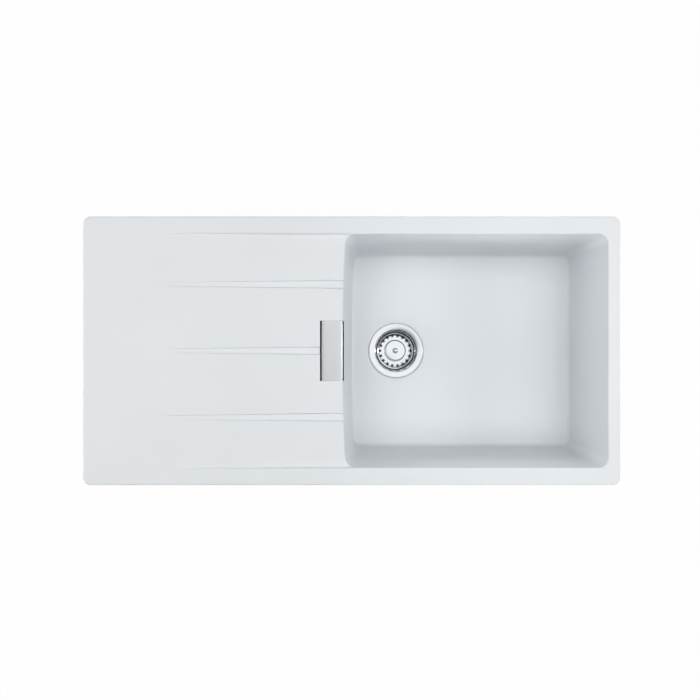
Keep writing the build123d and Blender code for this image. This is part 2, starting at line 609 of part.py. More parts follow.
def make_waste_body():
    """Moulded waste body: flange, straight wall, funnel, threaded tail, hub and overflow port."""
    bore_r = BODY_BORE_R
    flange_z = BODY_TOP_Z - BODY_FLANGE
    root_r = TAIL_R - THREAD_HEIGHT
    points = [
        (bore_r, BODY_TOP_Z), (BODY_FLANGE_R, BODY_TOP_Z), (BODY_FLANGE_R, flange_z), (BODY_R, flange_z),
        (BODY_R, FUNNEL_TOP_Z), (root_r, FUNNEL_END_Z), (TAIL_BORE_R, FUNNEL_END_Z), (bore_r, FUNNEL_TOP_Z),
    ]
    body = turned(points)
    body += Pos(0, 0, FUNNEL_END_Z) * threaded_spigot(TAIL_R, TAIL_BORE_R, TAIL_LENGTH)
    hub_z = SCREW_END_Z - BODY_WALL
    hub_top_z = SCREW_END_Z + INSERT_LENGTH
    hub = rod(BODY_HUB_R, hub_z, hub_top_z)
    half_rib = BODY_RIB_WIDTH / 2
    for turn in range(BODY_RIBS):
        rib = span_box(0, BODY_R, -half_rib, half_rib, FUNNEL_END_Z, hub_top_z)
        hub += Rot(0, 0, 360 / BODY_RIBS * (turn + 0.5)) * rib
    in_wall_r = BODY_BORE_R + BODY_WALL / 2
    low_z = hub_z - OVERCUT
    room_points = [(0, hub_top_z + OVERCUT), (in_wall_r, hub_top_z + OVERCUT), (in_wall_r, FUNNEL_TOP_Z),
                   (TAIL_BORE_R + BODY_WALL / 2, FUNNEL_END_Z), (BODY_HUB_R, low_z), (0, low_z)]
    body += hub & turned(room_points)
    pocket = extrude(RegularPolygon(INSERT_R + FIT_GAP, 6), amount=INSERT_LENGTH + OVERCUT)
    body -= Pos(0, 0, SCREW_END_Z) * pocket
    body -= rod(SCREW_R + FIT_GAP, hub_z - OVERCUT, SCREW_END_Z + OVERCUT)
    body = Pos(WASTE_X, 0, 0) * body

    port = Pos(PORT_END_X, 0, PORT_Z) * Rot(0, 90, 0) * Pos(0, 0, SPIGOT_LENGTH)
    body += port * threaded_spigot(SPIGOT_CREST_R, OUTLET_R, SPIGOT_LENGTH)
    body_room = rod(bore_r, PORT_Z - NUT_R, PORT_Z + NUT_R, WASTE_X)
    body += port * tube(SPIGOT_ROOT_R, OUTLET_R, 0, 2 * BODY_WALL) - body_room
    body -= port * rod(SPIGOT_BORE_R, -SPIGOT_LENGTH - OVERCUT, -SPIGOT_SHOULDER)
    return body - port * rod(OUTLET_R, -SPIGOT_SHOULDER - OVERCUT, BODY_R / 2)


def dome_arc(edge, centre):
    """Crowned line of the basket's dome, between (radius, z) at its edge and beside the stem."""
    (edge_r, edge_z), (centre_r, centre_z) = edge, centre
    middle_r = (edge_r + centre_r) / 2
    middle_z = centre_z - (centre_z - edge_z) * (middle_r / edge_r) ** 2
    return ThreePointArc(edge, (middle_r, middle_z), centre)


def make_strainer_basket():
    """Pressed basket: lip, slotted sloping wall, flat floor ring and raised dome."""
    z, sheet = BASKET_Z, BASKET_SHEET
    hole_r = STEM_R + STEM_FIT
    lip_z = BASKET_LIP_Z
    crown_r = DOME_R - DOME_SHOULDER
    under_edge, under_centre = (crown_r, z + DOME_STEP), (hole_r, z + DOME_RISE)
    upper_edge, upper_centre = (crown_r, z + DOME_STEP + sheet), (hole_r, z + DOME_RISE + sheet)
    profile = Polyline(
        under_edge, (DOME_R, z + DOME_STEP - DOME_SHOULDER), (DOME_R, z), (BASKET_FLOOR_R, z),
        (BASKET_WALL_R, lip_z - sheet), (BASKET_LIP_R, lip_z - sheet), (BASKET_LIP_R, lip_z),
        (BASKET_WALL_R - sheet, lip_z), (BASKET_FLOOR_R - sheet, z + sheet), (DOME_R + sheet, z + sheet),
        (DOME_R + sheet, z + DOME_STEP - DOME_SHOULDER + sheet), upper_edge)
    crown, vault = dome_arc(upper_edge, upper_centre), dome_arc(under_edge, under_centre)
    basket = turned_outline(profile, crown, Line(upper_centre, under_centre), vault)
    mid_z = z + SLOT_MID_RISE
    half_slot = SLOT_WIDTH / 2
    slot = span_box(BASKET_FLOOR_R - 3 * sheet, BASKET_LIP_R + OVERCUT, -half_slot, half_slot,
                    mid_z - SLOT_HEIGHT / 2, mid_z + SLOT_HEIGHT / 2)
    slot = fillet(slot.edges().filter_by(Axis.X), SLOT_CORNER_R)
    for turn in range(SLOT_COUNT):
        basket -= Rot(0, 0, 360 / SLOT_COUNT * turn) * slot
    return Pos(WASTE_X, 0, 0) * basket


def make_stopper_seal():
    """Rubber disc under the basket that closes the cup's outlet."""
    foot_z, top_z = CUP_FLOOR_Z, BASKET_Z
    relief_z = foot_z + STOPPER_RELIEF
    hole_r = STEM_R + STEM_FIT
    points = [(hole_r, relief_z), (STOPPER_RELIEF_R, relief_z), (STOPPER_RELIEF_R, foot_z),
              (STOPPER_R, foot_z), (STOPPER_R, top_z), (hole_r, top_z)]
    return Pos(WASTE_X, 0, 0) * turned(points)


def make_stem_clip():
    """Snap ring on the stem that holds the rubber disc up."""
    top_z = CUP_FLOOR_Z + STOPPER_RELIEF
    clip = tube(CLIP_R, STEM_R + STEM_FIT, top_z - CLIP_THICKNESS, top_z)
    return Pos(WASTE_X, 0, 0) * clip


def make_basket_stem():
    """Guide stem: from the knob down into the hollow clamp screw."""
    top_z = BASKET_Z + DOME_RISE + BASKET_SHEET + KNOB_SOCKET
    stem = rod(STEM_R, top_z - STEM_LENGTH, top_z)
    stem = chamfer(stem.edges().group_by(Axis.Z)[0], STEM_R / 3)
    return Pos(WASTE_X, 0, 0) * stem


def make_basket_knob():
    """Turned pull knob on the basket's dome, with a waisted neck and a round top."""
    z = BASKET_Z + DOME_RISE + BASKET_SHEET
    socket_r = STEM_R + STEM_FIT
    belly_z = z + KNOB_BELLY
    top_z = belly_z + KNOB_R
    eighth = KNOB_R * sin(radians(45))
    neck = ThreePointArc((KNOB_BASE_R, z), (KNOB_NECK_R, z + KNOB_BELLY / 2), (KNOB_R, belly_z))
    crown = ThreePointArc((KNOB_R, belly_z), (eighth, belly_z + eighth), (0, top_z))
    socket_z = z + KNOB_SOCKET
    socket = Polyline((0, top_z), (0, socket_z), (socket_r, socket_z), (socket_r, z), (KNOB_BASE_R, z))
    return Pos(WASTE_X, 0, 0) * turned_outline(neck, crown, socket)


def make_rim_clamp(x, side):
    """Steel clamp strip, tucked along the sink; it turns outwards under the worktop."""
    top_z = -CLAMP_DROP
    under_z = CLAMP_UNDER_Z
    half = CLAMP_WIDTH / 2
    strip = span_box(0, CLAMP_REACH, -half, half, under_z, top_z)
    strip += rod(half, under_z, top_z)
    strip += span_box(CLAMP_REACH - CLAMP_STRIP, CLAMP_REACH, -half, half, under_z, top_z + CLAMP_HOOK)
    strip -= rod(CLAMP_SCREW_R + CLAMP_TURN_GAP, under_z - OVERCUT, top_z + OVERCUT)
    return Pos(x, side * CLAMP_Y, 0) * strip


def make_clamp_screws():
    """Screws that carry the clamp strips."""
    head_z = CLAMP_UNDER_Z - CLAMP_SCREW_HEAD
    top_z = CLAMP_PLUG_LENGTH - CLAMP_BOSS_DEPTH
    screws = []
    for x, side in CLAMP_SPOTS:
        screw = rod(CLAMP_SCREW_R, CLAMP_UNDER_Z, top_z) + rod(CLAMP_SCREW_HEAD_R, head_z, CLAMP_UNDER_Z)
        socket = extrude(RegularPolygon(CLAMP_SOCKET_R, 6), amount=CLAMP_SOCKET_DEPTH)
        screw -= Pos(0, 0, head_z) * socket
        screws.append(Pos(x, side * CLAMP_Y, 0) * screw)
    return Compound(children=screws)


def make_clamp_plugs():
    """Expanding plugs pressed into the basin's bosses for the clamp screws."""
    top_z = CLAMP_PLUG_LENGTH - CLAMP_BOSS_DEPTH
    plug = tube(CLAMP_PLUG_R, CLAMP_SCREW_R + FIT_GAP, -CLAMP_BOSS_DEPTH, top_z)
    return Compound(children=[Pos(x, side * CLAMP_Y, 0) * plug for x, side in CLAMP_SPOTS])


def make_flange_gasket():
    """Rubber ring between the strainer's flange and its recess in the bowl's floor."""
    return tube(FLANGE_R, FLANGE_R - FLANGE_GASKET_WIDTH, FLANGE_SEAT_Z, FLANGE_UNDER_Z, WASTE_X)


def make_body_gasket():
    """Rubber ring between the bowl's underside and the waste body."""
    return tube(BODY_FLANGE_R, BODY_BORE_R, BODY_TOP_Z, UNDER_Z, WASTE_X)


def main():
    nodes = {
        "sink_basin": make_sink_basin(),
        "rim_seal": make_rim_seal(),
        "overflow_cover": make_overflow_cover(),
        "cover_legs": make_cover_legs(),
        "overflow_gasket": outlet_flange(OUTLET_TOP_Z, POCKET_UNDER_Z),
        "overflow_body": make_overflow_body(),
        "overflow_screws": make_overflow_screws(),
        "overflow_pipe": make_overflow_pipe(),
        "upper_joint_seal": UPPER_JOINT * slip_joint_seal(),
        "upper_joint_nut": UPPER_JOINT * slip_joint_nut(),
        "lower_joint_seal": LOWER_JOINT * slip_joint_seal(),
        "lower_joint_nut": LOWER_JOINT * slip_joint_nut(),
        "strainer_cup": make_strainer_cup(),
        "flange_gasket": make_flange_gasket(),
        "body_gasket": make_body_gasket(),
        "waste_body": make_waste_body(),
        "waste_screw": make_waste_screw(),
        "screw_insert": make_screw_insert(),
        "strainer_basket": make_strainer_basket(),
        "stopper_seal": make_stopper_seal(),
        "stem_clip": make_stem_clip(),
        "basket_stem": make_basket_stem(),
        "basket_knob": make_basket_knob(),
        "clamp_screws": make_clamp_screws(),
        "clamp_plugs": make_clamp_plugs(),
    }
    for number, (x, side) in enumerate(CLAMP_SPOTS, start=1):
        nodes[f"rim_clamp_{number}"] = make_rim_clamp(x, side)
    os.makedirs("parts", exist_ok=True)
    for name, shape in nodes.items():
        export_step(shape, f"parts/{name}.step")


main()
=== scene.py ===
"""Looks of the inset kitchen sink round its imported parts, in millimetres until a mesh is made."""
import math

import bmesh
import bpy
import numpy as np
from mathutils import Matrix, Vector


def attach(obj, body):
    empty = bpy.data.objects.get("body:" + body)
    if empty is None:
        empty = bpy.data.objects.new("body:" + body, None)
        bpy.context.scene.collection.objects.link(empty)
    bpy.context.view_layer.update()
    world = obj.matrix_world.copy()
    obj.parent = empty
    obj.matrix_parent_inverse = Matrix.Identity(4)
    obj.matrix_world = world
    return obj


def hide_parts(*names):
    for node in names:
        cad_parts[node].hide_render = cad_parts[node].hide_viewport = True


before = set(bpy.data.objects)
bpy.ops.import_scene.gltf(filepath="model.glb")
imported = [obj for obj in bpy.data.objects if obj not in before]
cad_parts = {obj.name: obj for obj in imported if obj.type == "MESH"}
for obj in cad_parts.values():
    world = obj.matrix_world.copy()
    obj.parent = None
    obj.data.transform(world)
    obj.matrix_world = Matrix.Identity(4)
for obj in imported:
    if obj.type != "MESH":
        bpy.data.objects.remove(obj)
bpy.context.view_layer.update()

# Sink basin: rim, drainer and bowl in one casting of quartz sand and acrylic resin, between two mould halves.
# Every edge is rounded and every wall leans out by 5 degrees. The underside has a downstand, ribs, clamp
# bosses and the overflow's block; inside its pocket the colour is painted near black as painted shade.
MM = 0.001
RIM_TOP = 9.0
CORE_X, CORE_Y, OUTER_R = 486.0, 236.0, 14.0
RIM_EDGE_R, RIM_FOOT_CHAMFER = 2.5, 0.8
BOWL_LEFT, BOWL_RIGHT, BOWL_HALF = -18.0, 477.0, 217.5
LEAN_DEGREES = 5
LEAN_ANGLE = math.radians(LEAN_DEGREES)
LEAN, LEAN_COS = math.tan(LEAN_ANGLE), math.cos(LEAN_ANGLE)
BOW_R = 3600.0
BOWL_CORNER_R, LIP_R, FLOOR_R = 18.0, 2.5, 9.0
FLOOR_Z, UNDER_Z, WALL = -191.0, -201.0, 9.0
DRAINER_START, DRAINER_FALL, SLOPE_BLEND = -388.0, 7.0, 22.0
UNDER_MARGIN, UNDER_BAND = 1.0, 5.0
STEP_BAND_START, STEP_BAND_END = 1.6, 4.6
GROOVE_YS, GROOVE_START = (-124.0, 0.0, 124.0), -356.0
GROOVE_END_DEPTH, GROOVE_GROWTH = 4.2, 0.75
GROOVE_LINE_START, GROOVE_LINE_END = 3.4, 7.3
GROOVE_FLANK_START, GROOVE_FLANK_END = 1.4, 3.0
LINE_REACH = 20.0
WASTE_X, RECESS_R, RECESS_Z, HOLE_R = 94.0, 58.5, -193.5, 46.2
RECESS_EDGE, RECESS_BREAK = 0.8, 0.25
LIP_OUT = LIP_R / LEAN_COS - LIP_R * LEAN


def smooth_step(value):
    """Soft rise from 0 to 1."""
    t = np.clip(value, 0.0, 1.0)
    return t * t * (3.0 - 2.0 * t)


def slope_run(x):
    """Length of the drainer's fall passed at x, with a soft start."""
    t = x - DRAINER_START
    soft = (t + SLOPE_BLEND) ** 2 / (4.0 * SLOPE_BLEND)
    return np.where(t < -SLOPE_BLEND, 0.0, np.where(t > SLOPE_BLEND, t, soft))


def drainer_lines(x):
    """Share of the drainer's fall at x, width of its steps, and a groove's share, half width and flank."""
    fall = slope_run(x) / (BOWL_LEFT - DRAINER_START)
    band = STEP_BAND_START + (STEP_BAND_END - STEP_BAND_START) * np.clip(fall, 0.0, 1.0)
    share = np.clip((x - GROOVE_START) / (BOWL_LEFT - GROOVE_START), 0.0, 1.0)
    line = GROOVE_LINE_START + (GROOVE_LINE_END - GROOVE_LINE_START) * share
    flank = GROOVE_FLANK_START + (GROOVE_FLANK_END - GROOVE_FLANK_START) * share
    return fall, band, share, line, flank


def deck_top_z(x, y):
    """Level of the deck: flat rim, sloping drainer between two steps, and three grooves that deepen."""
    fall, band, share, line, flank = drainer_lines(x)
    z = RIM_TOP - DRAINER_FALL * fall * smooth_step((BOWL_HALF + LIP_OUT - np.abs(y)) / band)
    depth = GROOVE_END_DEPTH * share ** GROOVE_GROWTH
    for groove_y in GROOVE_YS:
        z = z - depth * smooth_step((line - np.abs(y - groove_y)) / flank + 0.5)
    return z


def deck_under_z(x, y):
    """Level of the deck's underside, which follows the drainer."""
    inside = smooth_step((BOWL_HALF + WALL - UNDER_MARGIN - np.abs(y)) / UNDER_BAND)
    return -DRAINER_FALL * np.clip(slope_run(x) / (BOWL_LEFT - DRAINER_START), 0.0, 1.0) * inside


def drawn_in(away, marks, end_marks):
    """Distance from a line after its rows are drawn in from where they end to where they are here."""
    low, end_low, drawn = 0.0, 0.0, away
    for mark, end_mark in zip(marks + (LINE_REACH,), end_marks + (LINE_REACH,)):
        span = low + (away - end_low) * (mark - low) / (end_mark - end_low)
        drawn = np.where((away >= end_low) & (away < end_mark), span, drawn)
        low, end_low = mark, end_mark
    return drawn


def follow_lines(x, y):
    """Draws the drainer's rows in to the left, so that they run along the edges of grooves and steps."""
    _, band, _, line, flank = drainer_lines(x)
    end_half = GROOVE_FLANK_END / 2.0
    ends = (GROOVE_LINE_END - end_half, GROOVE_LINE_END + end_half)
    for groove_y in GROOVE_YS:
        drawn = drawn_in(np.abs(y - groove_y), (line - flank / 2.0, line + flank / 2.0), ends)
        y = groove_y + np.sign(y - groove_y) * drawn
    mouth = BOWL_HALF + LIP_OUT
    return np.sign(y) * (mouth - drawn_in(mouth - np.abs(y), (band,), (STEP_BAND_END,)))


PLAIN_YS = (22.0, 33.0, 44.0, 51.0, 58.0, 68.0, 80.0, 94.0, 104.0, 146.0, 158.0, 170.0, 182.0, 192.0)
LONG_STEPS, CORNER_STEPS, SHORT_STEPS, CORNER_LEAD = 56, 36, 48, 10


def lip_stations():
    """Side and share of each station round the bowl's mouth, close together at the grooves and the steps."""
    flank = [GROOVE_LINE_END + GROOVE_FLANK_END * (i / 6.0 - 0.5) for i in range(7)]
    fine = [0.0, 1.8, 3.4, 4.8] + flank + [9.6, 11.2, 14.0]
    ys = sorted(set([-v for v in fine] + fine))
    lines = [y + g for g in GROOVE_YS for y in ys] + [s * y for s in (-1, 1) for y in PLAIN_YS]
    lines = sorted(set(round(y, 4) for y in lines))
    centre_y = BOWL_HALF - BOWL_CORNER_R
    tilt = math.asin(centre_y / (BOW_R - BOWL_CORNER_R))
    left = [0.0] + [(math.asin(y / BOW_R) / tilt + 1.0) / 2.0 for y in lines]
    turns = [0.0, 0.1, 0.22, 0.34, 0.43, 0.5, 0.56, 0.61, 0.66, 0.71, 0.76, 0.81, 0.86, 0.91, 0.955]
    back_turns = [0.0] + [1.0 - t for t in reversed(turns[1:])]
    counts = (LONG_STEPS, CORNER_STEPS, SHORT_STEPS, CORNER_STEPS, LONG_STEPS)
    spread = [np.linspace(0, 1, count + 1)[:-1] for count in counts] + [back_turns, left, turns]
    side = np.concatenate([np.full(len(s), k) for k, s in enumerate(spread)])
    return side, np.concatenate([np.asarray(s, float) for s in spread])


SIDE, SHARE = lip_stations()
ON_SIDE = [SIDE == k for k in range(8)]
LEFT_FROM = int(np.argmax(ON_SIDE[5]))


def mouth_plan(inset, corner_r):
    """Plan of the bowl at each station: four sides and four round corners, the left side bowed."""
    half, right, bow_r = BOWL_HALF - inset, BOWL_RIGHT - inset, BOW_R - inset
    centre_y = half - corner_r
    bow_x = BOWL_LEFT + BOW_R
    left_x = bow_x - np.sqrt((bow_r - corner_r) ** 2 - centre_y ** 2)
    right_x = right - corner_r
    tilt = np.arctan2(centre_y, bow_x - left_x)
    quarter = math.pi / 2
    swing = tilt * (2.0 * SHARE - 1.0)
    angle = np.select(ON_SIDE[1::2], [quarter * (1.0 - SHARE), -quarter * SHARE,
                                      -quarter - SHARE * (quarter - tilt),
                                      math.pi - tilt - SHARE * (quarter - tilt)], 0.0)
    turn_x, turn_y = corner_r * np.cos(angle), corner_r * np.sin(angle)
    still = 0.0 * SHARE
    x = np.select(ON_SIDE, [
        left_x + SHARE * (right_x - left_x), right_x + turn_x, right + still, right_x + turn_x,
        right_x + SHARE * (left_x - right_x), left_x + turn_x, bow_x - bow_r * np.cos(swing),
        left_x + turn_x])
    y = np.select(ON_SIDE, [
        half + still, centre_y + turn_y, centre_y * (1.0 - 2.0 * SHARE), -centre_y + turn_y,
        -half + still, -centre_y + turn_y, bow_r * np.sin(swing), centre_y + turn_y])
    return x, y


def open_mesh(mesh):
    """Opens a mesh for work on its points, edges and faces."""
    work = bmesh.new()
    work.from_mesh(mesh)
    return work


def close_mesh(work, mesh):
    """Puts the work back into its mesh."""
    work.to_mesh(mesh)
    work.free()
    return mesh


class Shell:
    """Grids of points that share their borders, gathered into one mesh."""

    def __init__(self):
        self.points = []
        self.faces = []
        self.count = 0

    def grid(self, x, y, z, ring=False):
        """Adds a grid of rows and columns; a ring closes each row on itself."""
        rows, columns = x.shape
        self.points.append(np.stack([x, y, z], axis=-1).reshape(-1, 3))
        ids = self.count + np.arange(rows * columns).reshape(rows, columns)
        if ring:
            ids = np.concatenate([ids, ids[:, :1]], axis=1)
        quads = np.stack([ids[:-1, :-1], ids[:-1, 1:], ids[1:, 1:], ids[1:, :-1]], axis=-1)
        self.faces.append(quads.reshape(-1, 4))
        self.count += rows * columns

    def rings(self, rows):
        """Adds rows that close on themselves, each given by its x, y and z."""
        x, y, z = (np.stack(part) for part in zip(*(np.broadcast_arrays(*row) for row in rows)))
        self.grid(x, y, z, ring=True)

    def mesh(self, name):
        """One closed mesh, with shared borders welded and faces turned outwards."""
        made = bpy.data.meshes.new(name)
        points = np.concatenate(self.points) * MM
        made.from_pydata(points.tolist(), [], np.concatenate(self.faces).tolist())
        work = open_mesh(made)
        bmesh.ops.remove_doubles(work, verts=work.verts, dist=3e-6)
        bmesh.ops.dissolve_degenerate(work, edges=work.edges, dist=1e-7)
        bmesh.ops.recalc_face_normals(work, faces=work.faces)
        return close_mesh(work, made)


def ring_mesh(name, rows):
    """Mesh of rings, each given by its x, y and z."""
    shell = Shell()
    shell.rings(rows)
    return shell.mesh(name)


def rim_point(x, y, inset):
    """Point of the rim's outline, drawn in by an inset, straight out from a point of the deck's border."""
    near_x, near_y = np.clip(x, -CORE_X, CORE_X), np.clip(y, -CORE_Y, CORE_Y)
    out_x, out_y = x - near_x, y - near_y
    length = np.hypot(out_x, out_y)
    return near_x + out_x / length * (OUTER_R - inset), near_y + out_y / length * (OUTER_R - inset)


DECK_COLUMNS = np.concatenate([
    -CORE_X - (OUTER_R - RIM_EDGE_R) * np.linspace(1, 0, 6), [-477, -464, -448, -430],
    np.linspace(-414, -362, 14), np.linspace(-354, -78, 35)])
LIP_COLUMNS = np.array([0.0, 0.2, 0.38, 0.54, 0.68, 0.79, 0.87, 0.925, 0.965, 1.0])


def corner_spot(step, start_x, end_y, edge):
    """Point of the rim's border opposite a step round a right-hand corner of the bowl."""
    last = CORNER_STEPS - CORNER_LEAD
    if step <= CORNER_LEAD:
        return start_x + (CORE_X - start_x) * step / CORNER_LEAD, CORE_Y + edge
    if step <= last:
        turn = math.pi / 2 * (1 - (step - CORNER_LEAD) / (last - CORNER_LEAD))
        return CORE_X + edge * math.cos(turn), CORE_Y + edge * math.sin(turn)
    return CORE_X + edge, CORE_Y + (end_y - CORE_Y) * (step - last) / CORNER_LEAD


def deck_side(shell, ring_x, ring_y, inset, level, flat_z):
    """Deck on one face of the casting: the drainer's grid, and the strips round the rest of the bowl."""
    edge = OUTER_R - inset
    mouth_y = ring_y[0]
    lines = np.concatenate([np.linspace(mouth_y, CORE_Y, 5), CORE_Y + edge * np.linspace(0, 1, 6)[1:]])
    near = np.append(np.arange(LEFT_FROM, len(ring_x)), 0)
    beside = np.full(len(lines) - 1, ring_x[0])
    end_x = np.concatenate([beside, ring_x[near], beside])
    row_y = np.concatenate([-lines[:0:-1], ring_y[near], lines[1:]])
    columns = np.where(DECK_COLUMNS < -CORE_X,
                       -CORE_X + (DECK_COLUMNS + CORE_X) * edge / (OUTER_R - RIM_EDGE_R), DECK_COLUMNS)
    last = columns[-1]
    x = np.concatenate([np.tile(columns, (len(row_y), 1)),
                        last + (end_x[:, None] - last) * LIP_COLUMNS[None, 1:]], axis=1)
    y = np.tile(row_y[:, None], (1, x.shape[1]))
    y[:, :-1] = follow_lines(x[:, :-1], y[:, :-1])
    across = np.clip((-CORE_X - x) / edge, 0, 1)
    along = np.clip((np.abs(y) - CORE_Y) / edge, 0, 1)
    far = np.maximum(np.maximum(across, along), 1e-9)
    angle = np.where(across >= along, math.pi / 4 * along / far, math.pi / 2 - math.pi / 4 * across / far)
    corner = (across > 0) & (along > 0)
    x = np.where(corner, -CORE_X - edge * far * np.cos(angle), x)
    y = np.where(corner, np.sign(y) * (CORE_Y + edge * far * np.sin(angle)), y)
    shell.grid(x, y, level(x, y))
    share = (lines - mouth_y) / (lines[-1] - mouth_y)
    right = np.arange(0, LEFT_FROM + 1)
    out_x, out_y = ring_x[right].copy(), ring_y[right].copy()
    start_x, end_y = ring_x[np.argmax(ON_SIDE[1])], ring_y[np.argmax(ON_SIDE[2])]
    for number, name in enumerate(SIDE[right]):
        if name in (0, 4) or number == LEFT_FROM:
            out_y[number] = math.copysign(CORE_Y + edge, out_y[number])
        elif name == 2:
            out_x[number] = CORE_X + edge
        else:
            passed = number - int(np.argmax(ON_SIDE[name]))
            spot = corner_spot(passed if name == 1 else CORNER_STEPS - passed, start_x, end_y, edge)
            out_x[number] = spot[0]
            out_y[number] = spot[1] if name == 1 else -spot[1]
    strip_x = ring_x[right][:, None] + (out_x - ring_x[right])[:, None] * share[None, :]
    strip_y = ring_y[right][:, None] + (out_y - ring_y[right])[:, None] * share[None, :]
    shell.grid(strip_x, strip_y, np.full(strip_x.shape, flat_z))
    return [np.concatenate([out, side[0, -2::-1], side[1:, 0], side[-1, 1:-1]])
            for out, side in ((out_x, x), (out_y, y))]


floor_x, floor_y = mouth_plan(30.0, 5.0)
FLOOR_TURNS = np.arctan2(floor_y, floor_x - WASTE_X)


def waste_circle(radius):
    """Circle round the waste with a point for each station."""
    return WASTE_X + radius * np.cos(FLOOR_TURNS), radius * np.sin(FLOOR_TURNS)


def bowl_rings(shell, rows, circles):
    """Rings down a bowl's walls to its floor, then over the floor to circles round the waste."""
    rings = [(*mouth_plan(u, r), z) for u, z, r in rows]
    (foot_x, foot_y, _), (ring_x, ring_y) = rings[-1], waste_circle(circles[0][0])
    rings += [(foot_x * (1 - share) + ring_x * share, foot_y * (1 - share) + ring_y * share, circles[0][1])
              for share in np.linspace(0, 1, 9)[1:-1]]
    shell.rings(rings + [(*waste_circle(radius), z) for radius, z in circles])


SETTLE_ROUNDS = 12


def settled_mouth(level, flat_z, out):
    """Mouth of the bowl, drawn out by a margin, where its leaning wall meets the level of the deck."""
    on_left = SIDE >= 5
    top_z = np.where(on_left, flat_z - DRAINER_FALL, flat_z)
    for _ in range(SETTLE_ROUNDS):
        x, y = mouth_plan((RIM_TOP - top_z) * LEAN - out, BOWL_CORNER_R + out)
        top_z = np.where(on_left, level(x, y), flat_z)
    return x, y, top_z


def wall_rows(top_z, floor_z, skin, shares, turn_count):
    """Rows down a bowl's wall and round its foot, on a face that lies a skin outside the inner face."""
    foot_r, corner_r = FLOOR_R + skin, BOWL_CORNER_R + skin
    low_z = floor_z + foot_r - foot_r * math.sin(LEAN_ANGLE)
    rows = []
    for share in shares:
        z = top_z + (low_z - top_z) * share
        rows.append(((RIM_TOP - z) * LEAN - skin, z, corner_r))
    foot_u = (RIM_TOP - floor_z - foot_r) * LEAN - skin + foot_r / LEAN_COS
    wall_u = rows[-1][0]
    for turn in np.radians(np.linspace(LEAN_DEGREES, 90, turn_count))[1:]:
        u = foot_u - foot_r * math.cos(turn)
        rows.append((u, floor_z + foot_r * (1 - math.sin(turn)), corner_r - (u - wall_u)))
    return rows


def cast_shell():
    """Closed casting: deck and bowl inside, deck and bowl outside, rim edge and waste hole."""
    shell = Shell()
    x, y, top_z = settled_mouth(deck_top_z, RIM_TOP, LIP_OUT)
    inner_border = deck_side(shell, x, y, RIM_EDGE_R, deck_top_z, RIM_TOP)
    rows = []
    lip_u = (RIM_TOP - top_z + LIP_R) * LEAN - LIP_R / LEAN_COS
    for turn in np.radians(np.linspace(0, 90 - LEAN_DEGREES, 8)):
        u = lip_u + LIP_R * math.sin(turn)
        z = top_z - LIP_R * (1 - math.cos(turn))
        rows.append((u, z, BOWL_CORNER_R + (RIM_TOP - z) * LEAN - u))
    rows += wall_rows(rows[-1][1], FLOOR_Z, 0.0, np.linspace(0, 1, 13)[1:], 10)
    bowl_rings(shell, rows, [
        (RECESS_R + RECESS_EDGE, FLOOR_Z), (RECESS_R + RECESS_BREAK, FLOOR_Z - RECESS_BREAK),
        (RECESS_R, FLOOR_Z - RECESS_EDGE), (RECESS_R, RECESS_Z), (HOLE_R, RECESS_Z)])
    x, y, top_z = settled_mouth(deck_under_z, 0.0, WALL)
    outer_border = deck_side(shell, x, y, RIM_FOOT_CHAMFER, deck_under_z, 0.0)
    rows = wall_rows(top_z, UNDER_Z, WALL, np.linspace(0, 1, 9), 8)
    bowl_rings(shell, rows, [(RECESS_R, UNDER_Z), (HOLE_R, UNDER_Z)])
    shell.rings([(*waste_circle(HOLE_R), z) for z in (RECESS_Z, UNDER_Z)])
    skirt = [(RIM_EDGE_R * (1 - math.sin(t)), RIM_TOP - RIM_EDGE_R * (1 - math.cos(t)))
             for t in np.radians(np.linspace(0, 90, 7))] + [(0.0, RIM_FOOT_CHAMFER)]
    shell.rings([(*rim_point(*inner_border, i), z) for i, z in skirt] + [(*outer_border, 0.0)])
    return shell.mesh("sink_casting")


def block_mesh(low, high, soft, fall=0.0, rise=0.0):
    """Closed block between two corners with rounded edges; towards +X its top may fall and its foot rise."""
    work = bmesh.new()
    bmesh.ops.create_cube(work, size=1.0)
    for vert in work.verts:
        shift = 0.0
        if vert.co.x > 0:
            shift = -fall if vert.co.z > 0 else rise
        spot = [high[i] if vert.co[i] > 0 else low[i] for i in range(3)]
        vert.co = Vector((spot[0], spot[1], spot[2] + shift)) * MM
    if soft:
        bmesh.ops.bevel(work, geom=list(work.edges), offset=soft * MM, segments=3, profile=0.5,
                        affect="EDGES")
    bmesh.ops.recalc_face_normals(work, faces=work.faces)
    return close_mesh(work, bpy.data.meshes.new("block"))


def eased(points, closed):
    """Line of (radius, level) points, each corner rounded by the point's third value."""
    line = []
    for number, (radius, level, soft) in enumerate(points):
        at_end = not closed and number in (0, len(points) - 1)
        if at_end or soft == 0.0:
            line.append((radius, level))
            continue
        here = Vector((radius, level))
        back = Vector(points[number - 1][:2]) - here
        ahead = Vector(points[(number + 1) % len(points)][:2]) - here
        back = back.normalized() * min(soft, 0.48 * back.length)
        ahead = ahead.normalized() * min(soft, 0.48 * ahead.length)
        line += [tuple(here + back * (1 - t) ** 2 + ahead * t ** 2) for t in np.linspace(0, 1, 6)]
    return line


def turned_mesh(name, points, spin, closed=False):
    """Closed mesh turned about the Z axis; the line runs from axis to axis, or is a closed loop."""
    line = eased(points, closed)
    if closed:
        line.append(line[0])
    angle = np.linspace(0, 2 * math.pi, spin, endpoint=False)
    return ring_mesh(name, [(radius * np.cos(angle), radius * np.sin(angle), z) for radius, z in line])


def rod_mesh(name, radius, start, end, spin):
    """Plain rod about the Z axis, to cut bores and sockets with."""
    line = [(0.0, start, 0.0), (radius, start, 0.0), (radius, end, 0.0), (0.0, end, 0.0)]
    return turned_mesh(name, line, spin)


